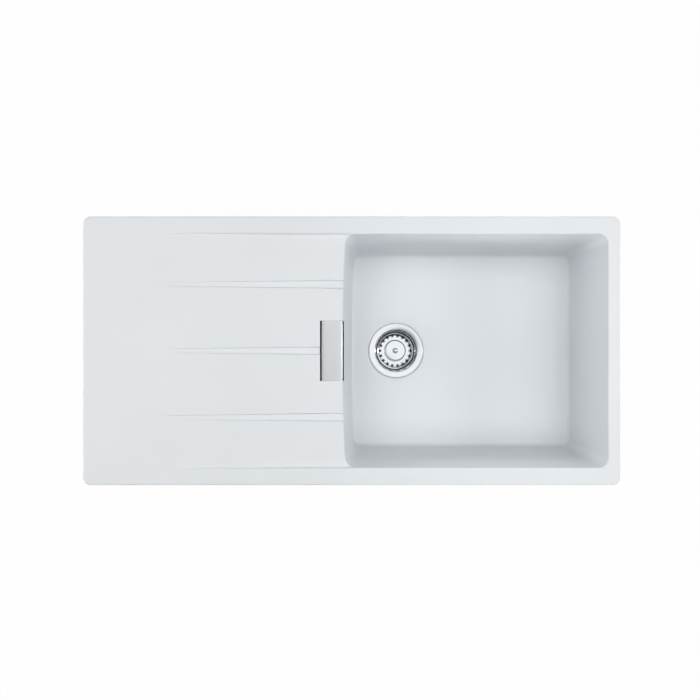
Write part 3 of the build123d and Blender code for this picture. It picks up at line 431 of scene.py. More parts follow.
def rim_ring(outer_inset, inner_inset, low, high):
    """Closed ring that follows the rim's outline between two insets."""
    sides = []
    quarter = math.pi / 2
    for inset in (outer_inset, inner_inset):
        radius = max(OUTER_R - inset, 1.0)
        hold_x, hold_y = CORE_X + OUTER_R - inset - radius, CORE_Y + OUTER_R - inset - radius
        spots = [(sx * hold_x + radius * math.cos(number * quarter + turn),
                  sy * hold_y + radius * math.sin(number * quarter + turn))
                 for number, (sx, sy) in enumerate(((1, 1), (-1, 1), (-1, -1), (1, -1)))
                 for turn in np.linspace(0, quarter, 9)]
        sides.append(np.array(spots).T)
    order = [(0, low), (0, high), (1, high), (1, low), (0, low)]
    return ring_mesh("rim_ring", [(*sides[s], z) for s, z in order])


def moved(mesh, x, y, turn=None):
    """The mesh, turned and then carried to a place."""
    mesh.transform(Matrix.Translation(Vector((x, y, 0.0)) * MM) @ (turn or Matrix.Identity(4)))
    return mesh


def set_out(name, data):
    """Puts a mesh, a lamp or a camera into the scene."""
    made = bpy.data.objects.new(name, data)
    bpy.context.scene.collection.objects.link(made)
    return made


def worked(first, others, how):
    """Mesh joined with, or cut by, other closed meshes one after another."""
    body = set_out("blank", first)
    for mesh in others:
        tool = set_out("tool", mesh)
        step = body.modifiers.new("step", "BOOLEAN")
        step.operation = how
        step.solver = "EXACT"
        step.object = tool
        sight = bpy.context.evaluated_depsgraph_get()
        body.data = bpy.data.meshes.new_from_object(body.evaluated_get(sight))
        body.modifiers.remove(step)
        bpy.data.objects.remove(tool)
    made = body.data
    bpy.data.objects.remove(body)
    work = open_mesh(made)
    bmesh.ops.remove_doubles(work, verts=work.verts, dist=4e-6)
    bmesh.ops.dissolve_degenerate(work, edges=work.edges, dist=1e-6)
    bmesh.ops.holes_fill(work, edges=[e for e in work.edges if e.is_boundary])
    return close_mesh(work, made)


DOWNSTAND = {"outer_inset": 13, "inner_inset": 19, "low": -12, "high": 3}
SEAL_GROOVE = {"outer_inset": 4, "inner_inset": 9, "low": -4, "high": 2}
RIB_LEFT, RIB_RIGHT, RIB_HALF, RIB_FOOT, RIB_TOP, RIB_FALL = -483, -21, 3, -12, 1.5, 6.5
CLAMP_Y, CLAMP_XS = 229.5, (-400.0, -400.0 / 3, 400.0 / 3, 400.0)
CLAMP_SPOTS = [(x, side * CLAMP_Y) for side in (1, -1) for x in CLAMP_XS]
BOSS_LINE = [(0.0, 3.0, 0.0), (7.4, 3.0, 0.0), (7.0, -20.0, 1.2), (0.0, -20.0, 0.0)]
PLUG_BORE_R, PLUG_BORE_TOP, PLUG_BORE_FOOT = 4.55, -4.0, -24.0
OVERFLOW_BLOCK = (-66.5, -64.4, -44), (-19.0, 64.4, -4)
OUTLET_X, OUTLET_BORE_R, OUTLET_SCREW_R, OUTLET_SCREW_YS = -46.0, 10.5, 2.15, (27.0, -27.0)
OUTLET_TOP, OUTLET_SCREW_TOP, OUTLET_FOOT = -30.0, -38.0, -50.0
POCKET_LEFT, POCKET_HALF, SEAT_HALF, COVER_LEDGE_Z = -59.0, 50.9, 56.4, 1.14
WELL_RIGHT, WELL_Z, WINDOW_Z, WINDOW_END_Z, SLOT_RIGHT, SLOT_Z = -23.8, -36, -30, -29.9, -55.5, -10.9
SILL_LOW, SILL_HIGH, SILL_RISE = (-24.8, -50.4, -36.5), (-14.75, 50.4, -20), 6.5
PAST_WALL, PAST_DECK, POCKET_SOFT = 27, 20, 2.5
underside = [block_mesh((RIB_LEFT, y - RIB_HALF, RIB_FOOT), (RIB_RIGHT, y + RIB_HALF, RIB_TOP), 1.0, RIB_FALL)
             for y in GROOVE_YS]
underside += [moved(turned_mesh("boss", BOSS_LINE, 48), x, y) for x, y in CLAMP_SPOTS]
underside.append(block_mesh(*OVERFLOW_BLOCK, 3.0))
casting_mesh = worked(cast_shell(), [worked(rim_ring(**DOWNSTAND), underside, "UNION")], "UNION")
seat = block_mesh((POCKET_LEFT, -SEAT_HALF, COVER_LEDGE_Z), (PAST_WALL, SEAT_HALF, PAST_DECK), 0.0)
pocket = [block_mesh((POCKET_LEFT, -POCKET_HALF, WELL_Z), (WELL_RIGHT, POCKET_HALF, PAST_DECK), POCKET_SOFT),
          block_mesh(SILL_LOW, SILL_HIGH, 0.0, 0.0, SILL_RISE),
          block_mesh((POCKET_LEFT, -POCKET_HALF, WINDOW_Z), (PAST_WALL, POCKET_HALF, PAST_DECK), POCKET_SOFT),
          block_mesh((WELL_RIGHT, -SEAT_HALF, WINDOW_END_Z), (PAST_WALL, SEAT_HALF, PAST_DECK), 0.0),
          block_mesh((POCKET_LEFT, -SEAT_HALF, SLOT_Z), (SLOT_RIGHT, SEAT_HALF, PAST_DECK), 0.0),
          moved(rod_mesh("outlet", OUTLET_BORE_R, OUTLET_TOP, OUTLET_FOOT, 64), OUTLET_X, 0)]
cuts = [worked(seat, pocket, "UNION"), rim_ring(**SEAL_GROOVE)]
cuts += [moved(rod_mesh("plug_bore", PLUG_BORE_R, PLUG_BORE_TOP, PLUG_BORE_FOOT, 32), x, y)
         for x, y in CLAMP_SPOTS]
cuts += [moved(rod_mesh("screw_bore", OUTLET_SCREW_R, OUTLET_SCREW_TOP, OUTLET_FOOT, 24), OUTLET_X, y)
         for y in OUTLET_SCREW_YS]
casting_mesh = worked(casting_mesh, cuts, "DIFFERENCE")


def node_in(tree, kind, inputs=None, **settings):
    """Adds a node with its options; inputs take a value, a socket or a node, whose first output is joined."""
    made = tree.nodes.new(kind)
    for name, value in settings.items():
        setattr(made, name, value)
    for name, value in (inputs or {}).items():
        if isinstance(value, bpy.types.Node):
            value = value.outputs[0]
        if isinstance(value, bpy.types.NodeSocket):
            tree.links.new(value, made.inputs[name])
        else:
            made.inputs[name].default_value = value
    return made


def number_in(tree, kind, first, second):
    """Number worked out in a tree from two others."""
    return node_in(tree, "ShaderNodeMath", {0: first, 1: second}, operation=kind)


def grain_group(name, inputs):
    """Empty shader group with a Vector and named numbers in, and a Tone and a Height out."""
    group = bpy.data.node_groups.new(name, "ShaderNodeTree")
    group.interface.new_socket("Vector", in_out="INPUT", socket_type="NodeSocketVector")
    for label, value in inputs.items():
        group.interface.new_socket(label, in_out="INPUT", socket_type="NodeSocketFloat").default_value = value
    for label in ("Tone", "Height"):
        group.interface.new_socket(label, in_out="OUTPUT", socket_type="NodeSocketFloat")
    return group, node_in(group, "NodeGroupInput").outputs


def clouded(group, given, fine, share):
    """Ends a grain group: the fine grain is its height, and with broad faint clouds its tone."""
    clouds = node_in(group, "ShaderNodeTexNoise", {"Vector": given["Vector"], "Scale": given["Cloud"]})
    both = node_in(group, "ShaderNodeMix", {"Factor": share, "A": fine, "B": clouds})
    node_in(group, "NodeGroupOutput", {"Tone": both, "Height": fine})
    return group


def cast_grain():
    """Fine grains with broad faint clouds: cast stone, moulded plastic and rubber."""
    group, given = grain_group("cast_grain", {"Grain": 900.0, "Cloud": 9.0, "Cloud Share": 0.4})
    grains = node_in(group, "ShaderNodeTexNoise", {
        "Vector": given["Vector"], "Scale": given["Grain"], "Detail": 3.0, "Roughness": 0.6})
    return clouded(group, given, grains, given["Cloud Share"])


def srgb(red, green, blue):
    """Colour written in screen values."""
    steps = [v / 255 for v in (red, green, blue)]
    return [v / 12.92 if v <= 0.04045 else ((v + 0.055) / 1.055) ** 2.4 for v in steps] + [1.0]


TONE_LOW, TONE_HIGH = 0.3, 0.7


def finish(name, group, amounts, dark, pale, rough, relief, centre=(0.0, 0.0, 0.0), shader=None):
    """Material whose colour, gloss and relief follow a grain; constants go straight on the shader."""
    made = bpy.data.materials.new(name)
    made.use_nodes = True
    tree = made.node_tree
    skin = tree.nodes["Principled BSDF"].inputs
    where = node_in(tree, "ShaderNodeTexCoord")
    centred = node_in(tree, "ShaderNodeMapping", {
        "Vector": where.outputs["Object"], "Location": [-c * MM for c in centre]})
    grain = node_in(tree, "ShaderNodeGroup", {"Vector": centred, **amounts}, node_tree=group)
    tone = grain.outputs["Tone"]
    tint = node_in(tree, "ShaderNodeValToRGB", {"Fac": tone})
    for stop, place, colour in zip(tint.color_ramp.elements, (TONE_LOW, TONE_HIGH), (dark, pale)):
        stop.position = place
        stop.color = srgb(*colour)
    gloss = node_in(tree, "ShaderNodeMapRange", {
        "Value": tone, "From Min": TONE_LOW, "From Max": TONE_HIGH, "To Min": rough[0], "To Max": rough[1]})
    bump = node_in(tree, "ShaderNodeBump", {
        "Height": grain.outputs["Height"], "Strength": 1.0, "Distance": relief * MM})
    for label, node in (("Base Color", tint), ("Roughness", gloss), ("Normal", bump)):
        tree.links.new(node.outputs[0], skin[label])
    for label, value in (shader or {}).items():
        skin[label].default_value = value
    return made


def fit_piece(name, mesh, body, nodes, material, crease=35.0):
    """Shows a mesh as a piece on its body, in place of the nodes it stands for."""
    mesh.materials.clear()
    mesh.materials.append(material)
    mesh.shade_smooth()
    mesh.set_sharp_from_angle(angle=math.radians(crease))
    piece = set_out(name, mesh)
    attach(piece, body)
    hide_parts(*nodes)


# Bounds of the painted shade inside the overflow pocket, in millimetres.
SHADE_LEFT, SHADE_RIGHT, SHADE_HALF, SHADE_LOW, SHADE_TOP = -59.3, -17.36, 56.7, -37.0, 1.0
COLOUR_A, COLOUR_B, COLOUR_OUT = 6, 7, 2


def paint_pocket_shade(material, shade_colour):
    """Painted shade: darkens the casting's colour inside the overflow pocket, where the pocket lies in shade.
    """
    tree = material.node_tree
    skin = tree.nodes["Principled BSDF"].inputs["Base Color"]
    where = node_in(tree, "ShaderNodeTexCoord")
    place = node_in(tree, "ShaderNodeSeparateXYZ", {"Vector": where.outputs["Object"]})
    across, along, up = (place.outputs[axis] for axis in "XYZ")
    leaning = node_in(tree, "ShaderNodeMath", {0: up, 1: LEAN, 2: across}, operation="MULTIPLY_ADD")
    aside = node_in(tree, "ShaderNodeMath", {0: along}, operation="ABSOLUTE")
    # Mask of the painted shade: one inside the pocket, nought elsewhere.
    painted = 1.0
    for value, test, edge in ((leaning, "LESS_THAN", SHADE_RIGHT), (across, "GREATER_THAN", SHADE_LEFT),
                              (aside, "LESS_THAN", SHADE_HALF), (up, "LESS_THAN", SHADE_TOP),
                              (up, "GREATER_THAN", SHADE_LOW)):
        painted = number_in(tree, "MULTIPLY", painted, number_in(tree, test, value, edge * MM))
    both = node_in(tree, "ShaderNodeMix", {
        "Factor": painted, COLOUR_A: skin.links[0].from_socket, COLOUR_B: srgb(*shade_colour)}, data_type="RGBA")
    tree.links.new(both.outputs[COLOUR_OUT], skin)


CAST_GRAIN = cast_grain()
composite = finish("quartz_composite", CAST_GRAIN, {"Grain": 1100.0, "Cloud": 7.0, "Cloud Share": 0.3},
                   (220, 224, 227), (228, 231, 234), (0.30, 0.40), 0.012, shader={"Specular IOR Level": 0.45})
# Painted shade: near-black colour for the inside of the overflow pocket.
POCKET_PAINTED_SHADE = (50, 52, 54)
paint_pocket_shade(composite, POCKET_PAINTED_SHADE)
fit_piece("sink_basin_casting", casting_mesh, "basin", ["sink_basin"], composite, 32.0)

# Rim seal: closed-cell foam strip, stuck into the groove under the rim.
# It is cut from a roll and squeezed flat when the clamps pull the sink down on the worktop.
foam = finish("sealing_foam", CAST_GRAIN, {"Grain": 2200.0, "Cloud": 30.0, "Cloud Share": 0.25},
              (96, 97, 99), (122, 123, 124), (0.85, 0.95), 0.12)


def dress(node, material):
    """Gives a part of the frame its finish."""
    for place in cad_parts[node].material_slots:
        place.material = material


dress("rim_seal", foam)

# Clamp plugs and screws: nylon plugs are pressed into the eight bosses, and a socket screw runs up into each.
# The screws are cold headed and thread rolled from plain steel wire.
nylon = finish("grey_plastic", CAST_GRAIN, {"Grain": 700.0, "Cloud": 40.0, "Cloud Share": 0.5},
               (168, 170, 172), (182, 184, 185), (0.45, 0.58), 0.02)
dress("clamp_plugs", nylon)


def drawn_grain():
    """Fine lines along the piece's Y: brushed sheet, drawn wire and rolled strip."""
    group, given = grain_group("drawn_grain", {"Lines": 900.0, "Length": 18.0, "Cloud": 30.0})
    apart = node_in(group, "ShaderNodeSeparateXYZ", {"Vector": given["Vector"]}).outputs
    scales = {"X": "Lines", "Y": "Length", "Z": "Lines"}
    stretched = node_in(group, "ShaderNodeCombineXYZ", {
        axis: number_in(group, "MULTIPLY", apart[axis], given[label]) for axis, label in scales.items()})
    lines = node_in(group, "ShaderNodeTexNoise", {
        "Vector": stretched, "Scale": 1.0, "Detail": 3.0, "Roughness": 0.65})
    return clouded(group, given, lines, 0.3)


DRAWN_GRAIN = drawn_grain()
plain_steel = finish("plain_steel", DRAWN_GRAIN, {"Lines": 600.0, "Length": 600.0, "Cloud": 120.0},
                     (158, 161, 164), (184, 187, 190), (0.28, 0.42), 0.01, shader={"Metallic": 1.0})


def growing_tree(name, inputs):
    """New tree with inputs of named kinds and a geometry to send out; gives the tree and its inputs."""
    tree = bpy.data.node_groups.new(name, "GeometryNodeTree")
    for label, kind in inputs.items():
        tree.interface.new_socket(label, in_out="INPUT", socket_type=f"NodeSocket{kind}")
    tree.interface.new_socket("Geometry", in_out="OUTPUT", socket_type="NodeSocketGeometry")
    return tree, node_in(tree, "NodeGroupInput").outputs


def send_out(tree, geometry, paint):
    """Ends a tree: what it has made gets its finish and is sent out."""
    painted = node_in(tree, "GeometryNodeSetMaterial", {"Geometry": geometry, "Material": paint})
    node_in(tree, "NodeGroupOutput", {"Geometry": painted})
    return tree


THREAD_START, THREAD_RUN = 0.02, 0.96


def screw_tree():
    """Headed screws set out on points: a head cut by a drive, a core and a rolled thread."""
    tree, given = growing_tree("set_screws", {
        "Spots": "Geometry", "Drive": "Object", "Head Radius": "Float", "Head Height": "Float",
        "Crest Radius": "Float", "Core Radius": "Float", "Length": "Float", "Pitch": "Float",
        "Finish": "Material"})

    def part_of(label, share):
        return number_in(tree, "MULTIPLY", given[label], share)

    def lifted(shape, level):
        place = node_in(tree, "ShaderNodeCombineXYZ", {"Z": level})
        return node_in(tree, "GeometryNodeTransform", {"Geometry": shape, "Translation": place})

    blank = node_in(tree, "GeometryNodeMeshCylinder", {
        "Vertices": 32, "Radius": given["Head Radius"], "Depth": given["Head Height"]})
    drive = node_in(tree, "GeometryNodeObjectInfo", {"Object": given["Drive"]})
    head = node_in(tree, "GeometryNodeMeshBoolean", {
        "Mesh 1": lifted(blank, part_of("Head Height", -0.5)),
        "Mesh 2": lifted(drive.outputs["Geometry"], part_of("Head Height", -1.0))},
        operation="DIFFERENCE", solver="EXACT")
    core = node_in(tree, "GeometryNodeMeshCylinder", {
        "Vertices": 24, "Radius": given["Core Radius"], "Depth": given["Length"]})
    rise = number_in(tree, "SUBTRACT", given["Crest Radius"], given["Core Radius"])
    ridge_r = number_in(tree, "MULTIPLY", rise, 0.5)
    middle_r = number_in(tree, "ADD", given["Core Radius"], ridge_r)
    run = part_of("Length", THREAD_RUN)
    helix = node_in(tree, "GeometryNodeCurveSpiral", {
        "Resolution": 20, "Rotations": number_in(tree, "DIVIDE", run, given["Pitch"]),
        "Start Radius": middle_r, "End Radius": middle_r, "Height": run})
    section = node_in(tree, "GeometryNodeCurvePrimitiveCircle", {"Resolution": 4, "Radius": ridge_r})
    thread = node_in(tree, "GeometryNodeCurveToMesh", {
        "Curve": helix, "Fill Caps": True, "Profile Curve": section})
    whole = node_in(tree, "GeometryNodeJoinGeometry")
    for part in (head, lifted(core, part_of("Length", 0.5)), lifted(thread, part_of("Length", THREAD_START))):
        tree.links.new(part.outputs[0], whole.inputs["Geometry"])
    placed = node_in(tree, "GeometryNodeInstanceOnPoints", {"Points": given["Spots"], "Instance": whole})
    real = node_in(tree, "GeometryNodeRealizeInstances", {"Geometry": placed})
    return send_out(tree, real, given["Finish"])


def grown(tree, mesh, inputs):
    """Mesh that a tree makes from a start mesh, its inputs set by their sockets."""
    start = set_out("start", mesh)
    step = start.modifiers.new("grow", "NODES")
    step.node_group = tree
    for item in tree.interface.items_tree:
        if item.in_out == "INPUT" and item.name in inputs:
            step[item.identifier] = inputs[item.name]
    sight = bpy.context.evaluated_depsgraph_get()
    made = bpy.data.meshes.new_from_object(start.evaluated_get(sight))
    start.modifiers.remove(step)
    bpy.data.objects.remove(start)
    return made


SCREW_TREE = screw_tree()


def screw_set(spots, key_mesh, sizes):
    """Plain steel screws at the given spots, their heads cut by a key, from sizes in millimetres."""
    points = bpy.data.meshes.new("spots")
    points.from_pydata([Vector(p) * MM for p in spots], [], [])
    key = set_out("drive_key", key_mesh)
    amounts = {label: size * MM for label, size in sizes.items()}
    made = grown(SCREW_TREE, points, {"Drive": key, "Finish": plain_steel, **amounts})
    bpy.data.objects.remove(key)
    return made


CLAMP_UNDER_Z = -52.5
CLAMP_SCREW = {"Head Radius": 5.0, "Head Height": 3.5, "Crest Radius": 3.0, "Core Radius": 2.5,
               "Length": 48.5, "Pitch": 1.0}
SOCKET = {"radius": 2.3, "start": -3.0, "end": 2.2, "spin": 6}
clamp_spots = [(x, y, CLAMP_UNDER_Z) for x, y in CLAMP_SPOTS]
clamp_screw_mesh = screw_set(clamp_spots, rod_mesh("socket_key", **SOCKET), CLAMP_SCREW)
fit_piece("clamp_screw_set", clamp_screw_mesh, "basin", ["clamp_screws"], plain_steel)

# Rim clamps: eight strips of zinc-plated steel, each bent up at its end into a hook.
# Each hangs on its screw, lies along the sink until it is fitted, and then turns out under the worktop.
CLAMP_REACH, CLAMP_HALF, CLAMP_STRIP, CLAMP_HOOK_Z = 34.0, 5.0, 2.5, -41.0
CLAMP_BEND_R, CLAMP_EDGE, CLAMP_SIDE_EDGE = 2.6, 0.35, 0.1
CLAMP_HOLE_R, CLAMP_HOLE_RUN = 3.25, (-60.0, -45.0)
zinc = finish("zinc_steel", CAST_GRAIN, {"Grain": 260.0, "Cloud": 60.0, "Cloud Share": 0.35},
              (150, 155, 160), (196, 200, 204), (0.30, 0.48), 0.01, shader={"Metallic": 1.0})


def clamp_strip():
    """Bent strip with a round end and a hole, lying along +X from its screw."""
    half = CLAMP_STRIP / 2
    low, hook_x = CLAMP_UNDER_Z + half, CLAMP_REACH - half
    straight = hook_x - CLAMP_BEND_R
    upright = low + CLAMP_BEND_R
    path = [(-CLAMP_HALF + step, low, 0.0) for step in (0.0, 0.1, 0.4, 0.9, 1.6, 2.5, 3.6, 5.0)]
    path += [(straight * t, low, 0.0) for t in (0.25, 0.5, 0.75)]
    path += [(straight + CLAMP_BEND_R * math.sin(t), low + CLAMP_BEND_R * (1 - math.cos(t)), t)
             for t in np.linspace(0, math.pi / 2, 7)]
    path += [(hook_x, upright + (CLAMP_HOOK_Z - upright) * t, math.pi / 2) for t in (0.5, 0.95, 1.0)]
    wide, thick = 1 - CLAMP_SIDE_EDGE, 1 - CLAMP_EDGE
    ring = [(-1, -thick), (-wide, -1), (wide, -1), (1, -thick)]
    ring += [(-u, -v) for u, v in ring]
    u, v = np.array(ring).T
    rows = []
    for x, z, turn in path:
        reach = math.sqrt(max(CLAMP_HALF ** 2 - min(x, 0.0) ** 2, 0.0))
        rows.append((x - half * v * math.sin(turn), reach * u, z + half * v * math.cos(turn)))
    rows.append((hook_x, 0.0 * u, CLAMP_HOOK_Z))
    hole = rod_mesh("hole", CLAMP_HOLE_R, *CLAMP_HOLE_RUN, 32)
    return worked(ring_mesh("clamp_strip", rows), [hole], "DIFFERENCE")


strip_mesh = clamp_strip()
for number, (x, y) in enumerate(CLAMP_SPOTS, start=1):
    fit_piece(f"rim_clamp_strip_{number}", moved(strip_mesh.copy(), x, y), f"clamp_{number}",
              [f"rim_clamp_{number}"], zinc)

# Overflow outlet: moulded plastic flange and spigot, screwed up under the overflow pocket on a rubber gasket.
# Its two slotted screws bite straight into the composite.
rubber = finish("black_rubber", CAST_GRAIN, {"Grain": 1500.0, "Cloud": 25.0, "Cloud Share": 0.5},
                (38, 38, 39), (52, 52, 53), (0.62, 0.78), 0.02)
white_plastic = finish("white_plastic", CAST_GRAIN, {"Grain": 500.0, "Cloud": 16.0, "Cloud Share": 0.6},
                       (226, 227, 224), (236, 237, 234), (0.34, 0.44), 0.02)


SHARP_ANGLE, FLAT_ANGLE = math.radians(40.0), math.radians(0.4)


def softened(node, width):
    """Welded copy of a part's own shape with its sharp edges broken."""
    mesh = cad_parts[node].data.copy()
    work = open_mesh(mesh)
    bmesh.ops.remove_doubles(work, verts=work.verts, dist=2e-6)
    bmesh.ops.dissolve_limit(work, angle_limit=FLAT_ANGLE, verts=work.verts, edges=work.edges)
    edges = [e for e in work.edges if e.is_manifold and e.calc_face_angle(0.0) > SHARP_ANGLE]
    bmesh.ops.bevel(work, geom=edges, offset=width * MM, segments=2, profile=0.5, affect="EDGES",
                    clamp_overlap=True)
    bmesh.ops.recalc_face_normals(work, faces=work.faces)
    close_mesh(work, mesh)
    for layer in ("custom_normal", "sharp_edge", "sharp_face"):
        if layer in mesh.attributes:
            mesh.attributes.remove(mesh.attributes[layer])
    return mesh


dress("overflow_gasket", rubber)
fit_piece("overflow_outlet", softened("overflow_body", 0.5), "basin", ["overflow_body"],
          white_plastic)
OUTLET_UNDER_Z = -50.5
OUTLET_SCREW = {"Head Radius": 4.0, "Head Height": 3.2, "Crest Radius": 2.1, "Core Radius": 1.6,
                "Length": 12.5, "Pitch": 1.4}
DRIVER_SLOT = (-6.0, -0.5, -2.0), (6.0, 0.5, 1.2)
outlet_spots = [(OUTLET_X, y, OUTLET_UNDER_Z) for y in OUTLET_SCREW_YS]
outlet_screw_mesh = screw_set(outlet_spots, block_mesh(*DRIVER_SLOT, 0.0), OUTLET_SCREW)
fit_piece("overflow_screw_pair", outlet_screw_mesh, "basin", ["overflow_screws"],
          plain_steel)

# Strainer cup: flange and cup deep-drawn from one sheet of stainless steel, polished on a lathe.
# It sits on a rubber ring in the floor's recess; a welded spider in its mouth takes the clamp screw.


def turned_grain():
    """Fine rings about the piece's own Z axis, as a polishing lathe leaves them."""
    group, given = grain_group("turned_grain", {"Rings": 1500.0, "Cloud": 40.0})
    apart = node_in(group, "ShaderNodeSeparateXYZ", {"Vector": given["Vector"]}).outputs
    flat = node_in(group, "ShaderNodeCombineXYZ", {"X": apart["X"], "Y": apart["Y"]})
    radius = node_in(group, "ShaderNodeVectorMath", {"Vector": flat}, operation="LENGTH")
    line = node_in(group, "ShaderNodeCombineXYZ", {"X": radius.outputs["Value"], "Y": apart["Z"]})
    rings = node_in(group, "ShaderNodeTexNoise", {"Vector": line, "Scale": given["Rings"], "Detail": 2.0})
    return clouded(group, given, rings, 0.4)


TURNED_GRAIN = turned_grain()
polished = finish("polished_steel", TURNED_GRAIN, {"Rings": 1500.0, "Cloud": 40.0}, (214, 217, 220),
                  (224, 227, 230), (0.10, 0.18), 0.002, (WASTE_X, 0.0, 0.0), {"Metallic": 1.0})
dress("flange_gasket", rubber)
CUP_LINE = [(57.0, -192.0, 0.3), (57.0, -191.4, 0.3), (56.2, -190.8, 0.8), (45.2, -191.9, 0.4),
            (44.1, -193.4, 0.7), (39.0, -228.8, 6.0), (33.5, -235.8, 3.0), (27.0, -235.8, 1.2),
            (27.0, -242.8, 0.3), (28.2, -242.8, 0.3), (28.2, -237.0, 0.6), (34.1, -237.0, 3.0),
            (40.2, -229.4, 5.0), (45.2, -193.4, 1.0), (45.8, -192.0, 0.3)]
HUB_LINE = [(5.2, -242.8, 0.3), (9.0, -242.8, 0.6), (9.0, -238.8, 0.6), (5.2, -238.8, 0.3)]
ARM_LOW, ARM_HIGH = (7.0, -2.5, -242.8), (27.6, 2.5, -239.8)
spider = [turned_mesh("hub", HUB_LINE, 48, True)]
for quarter in range(4):
    arm_turn = Matrix.Rotation(math.radians(90 * quarter + 45), 4, "Z")
    spider.append(moved(block_mesh(ARM_LOW, ARM_HIGH, 0.5), 0, 0, arm_turn))
cup_mesh = moved(worked(turned_mesh("cup", CUP_LINE, 144, True), spider, "UNION"), WASTE_X, 0)
fit_piece("strainer_cup_drawn", cup_mesh, "basin", ["strainer_cup"], polished)

# Waste body: moulded plastic funnel below the bowl, with the overflow's port and a threaded tail.
# A hollow hexagon-headed screw pulls it up to the cup through a brass nut that is pressed into its hub.
brass = finish("brass", TURNED_GRAIN, {"Rings": 900.0, "Cloud": 60.0}, (196, 158, 92), (214, 178, 112),
               (0.26, 0.38), 0.004, (WASTE_X, 0.0, 0.0), {"Metallic": 1.0})
dress("body_gasket", rubber)
dress("screw_insert", brass)
fit_piece("waste_funnel", softened("waste_body", 0.5), "basin", ["waste_body"],
          white_plastic)
fit_piece("waste_clamp_screw", softened("waste_screw", 0.3), "basin", ["waste_screw"],
          polished)

# Overflow pipe: rigid moulded bend that carries the overflow round to the waste body's port.
# Each end slips into a spigot and is held by a rubber ring and a ribbed hand nut.
fit_piece("overflow_bend", softened("overflow_pipe", 0.3), "basin", ["overflow_pipe"],
          white_plastic)
for joint in ("upper", "lower"):
    dress(f"{joint}_joint_seal", rubber)
    fit_piece(f"{joint}_hand_nut", softened(f"{joint}_joint_nut", 0.35), "basin", [f"{joint}_joint_nut"],
              nylon)

# Basket: stainless strainer pressed from sheet, with a slotted wall and a raised dome, on a rubber plug.
# A turned knob on top and a guide stem below are riveted through; a snap ring keeps the plug on.
BASKET_Z, BASKET_LIP_Z, BASKET_SHEET = -231.8, -218.3, 0.8
DOME_R, DOME_EDGE_R, DOME_RISE, DOME_STEP, STEM_R = 22.5, 21.5, 8.0, 7.0, 3.05
SLOT_COUNT = 18
SLOT_SIZES = {"Slot Width": 5.0, "Slot Height": 11.0, "Slot Reach": 10.8, "Slot Radius": 34.9,
              "Slot Level": BASKET_Z + 3.5}


def dome_line(rise):
    """Crown of the dome from its shoulder to the stem, lifted by the sheet where it is the upper side."""
    edge_z, centre_z = BASKET_Z + DOME_STEP + rise, BASKET_Z + DOME_RISE + rise
    return [(r, centre_z - (centre_z - edge_z) * (r / DOME_EDGE_R) ** 2, 0.0)
            for r in np.linspace(DOME_EDGE_R, STEM_R, 9)]


BASKET_LINE = [(DOME_R, BASKET_Z + 5.6, 0.9), (DOME_R, BASKET_Z, 0.4), (33.8, BASKET_Z, 1.2),
               (36.7, BASKET_LIP_Z - 2.4, 0.8), (38.5, BASKET_LIP_Z - 1.6, 0.5),
               (39.2, BASKET_LIP_Z - 0.5, 0.3), (38.9, BASKET_LIP_Z, 0.25), (36.1, BASKET_LIP_Z - 1.25, 0.9),
               (33.0, BASKET_Z + BASKET_SHEET, 1.0), (23.3, BASKET_Z + BASKET_SHEET, 0.4),
               (23.3, BASKET_Z + 6.4, 1.3)]
BASKET_LINE += dome_line(BASKET_SHEET) + dome_line(0.0)[::-1]


def slot_tree():
    """Round-ended slots cut in a ring through a wall about the Z axis."""
    tree, given = growing_tree("cut_slots", {
        "Blank": "Geometry", "Slot Count": "Int", "Slot Width": "Float", "Slot Height": "Float",
        "Slot Reach": "Float", "Slot Radius": "Float", "Slot Level": "Float", "Finish": "Material"})
    half_r = number_in(tree, "MULTIPLY", given["Slot Width"], 0.5)
    run = number_in(tree, "SUBTRACT", given["Slot Height"], given["Slot Width"])
    size = node_in(tree, "ShaderNodeCombineXYZ", {
        "X": given["Slot Reach"], "Y": given["Slot Width"], "Z": run})
    middle = node_in(tree, "GeometryNodeMeshCube", {"Size": size})
    cutter = node_in(tree, "GeometryNodeJoinGeometry", {"Geometry": middle})
    for way in (0.5, -0.5):
        end = node_in(tree, "GeometryNodeMeshCylinder", {
            "Vertices": 20, "Depth": given["Slot Reach"], "Radius": half_r})
        place = node_in(tree, "ShaderNodeCombineXYZ", {"Z": number_in(tree, "MULTIPLY", run, way)})
        laid = node_in(tree, "GeometryNodeTransform", {
            "Geometry": end, "Translation": place, "Rotation": (0.0, math.pi / 2, 0.0)})
        tree.links.new(laid.outputs[0], cutter.inputs["Geometry"])
    ring = node_in(tree, "GeometryNodeMeshCircle", {
        "Vertices": given["Slot Count"], "Radius": given["Slot Radius"]})
    level = node_in(tree, "ShaderNodeCombineXYZ", {"Z": given["Slot Level"]})
    ring = node_in(tree, "GeometryNodeTransform", {"Geometry": ring, "Translation": level})
    index = node_in(tree, "GeometryNodeInputIndex").outputs["Index"]
    step = number_in(tree, "DIVIDE", 2 * math.pi, given["Slot Count"])
    turn = node_in(tree, "ShaderNodeCombineXYZ", {"Z": number_in(tree, "MULTIPLY", index, step)})
    cutters = node_in(tree, "GeometryNodeInstanceOnPoints", {
        "Points": ring, "Instance": cutter, "Rotation": turn})
    real = node_in(tree, "GeometryNodeRealizeInstances", {"Geometry": cutters})
    cut = node_in(tree, "GeometryNodeMeshBoolean", {
        "Mesh 1": given["Blank"], "Mesh 2": real, "Self Intersection": True},
        operation="DIFFERENCE", solver="EXACT")
    return send_out(tree, cut, given["Finish"])


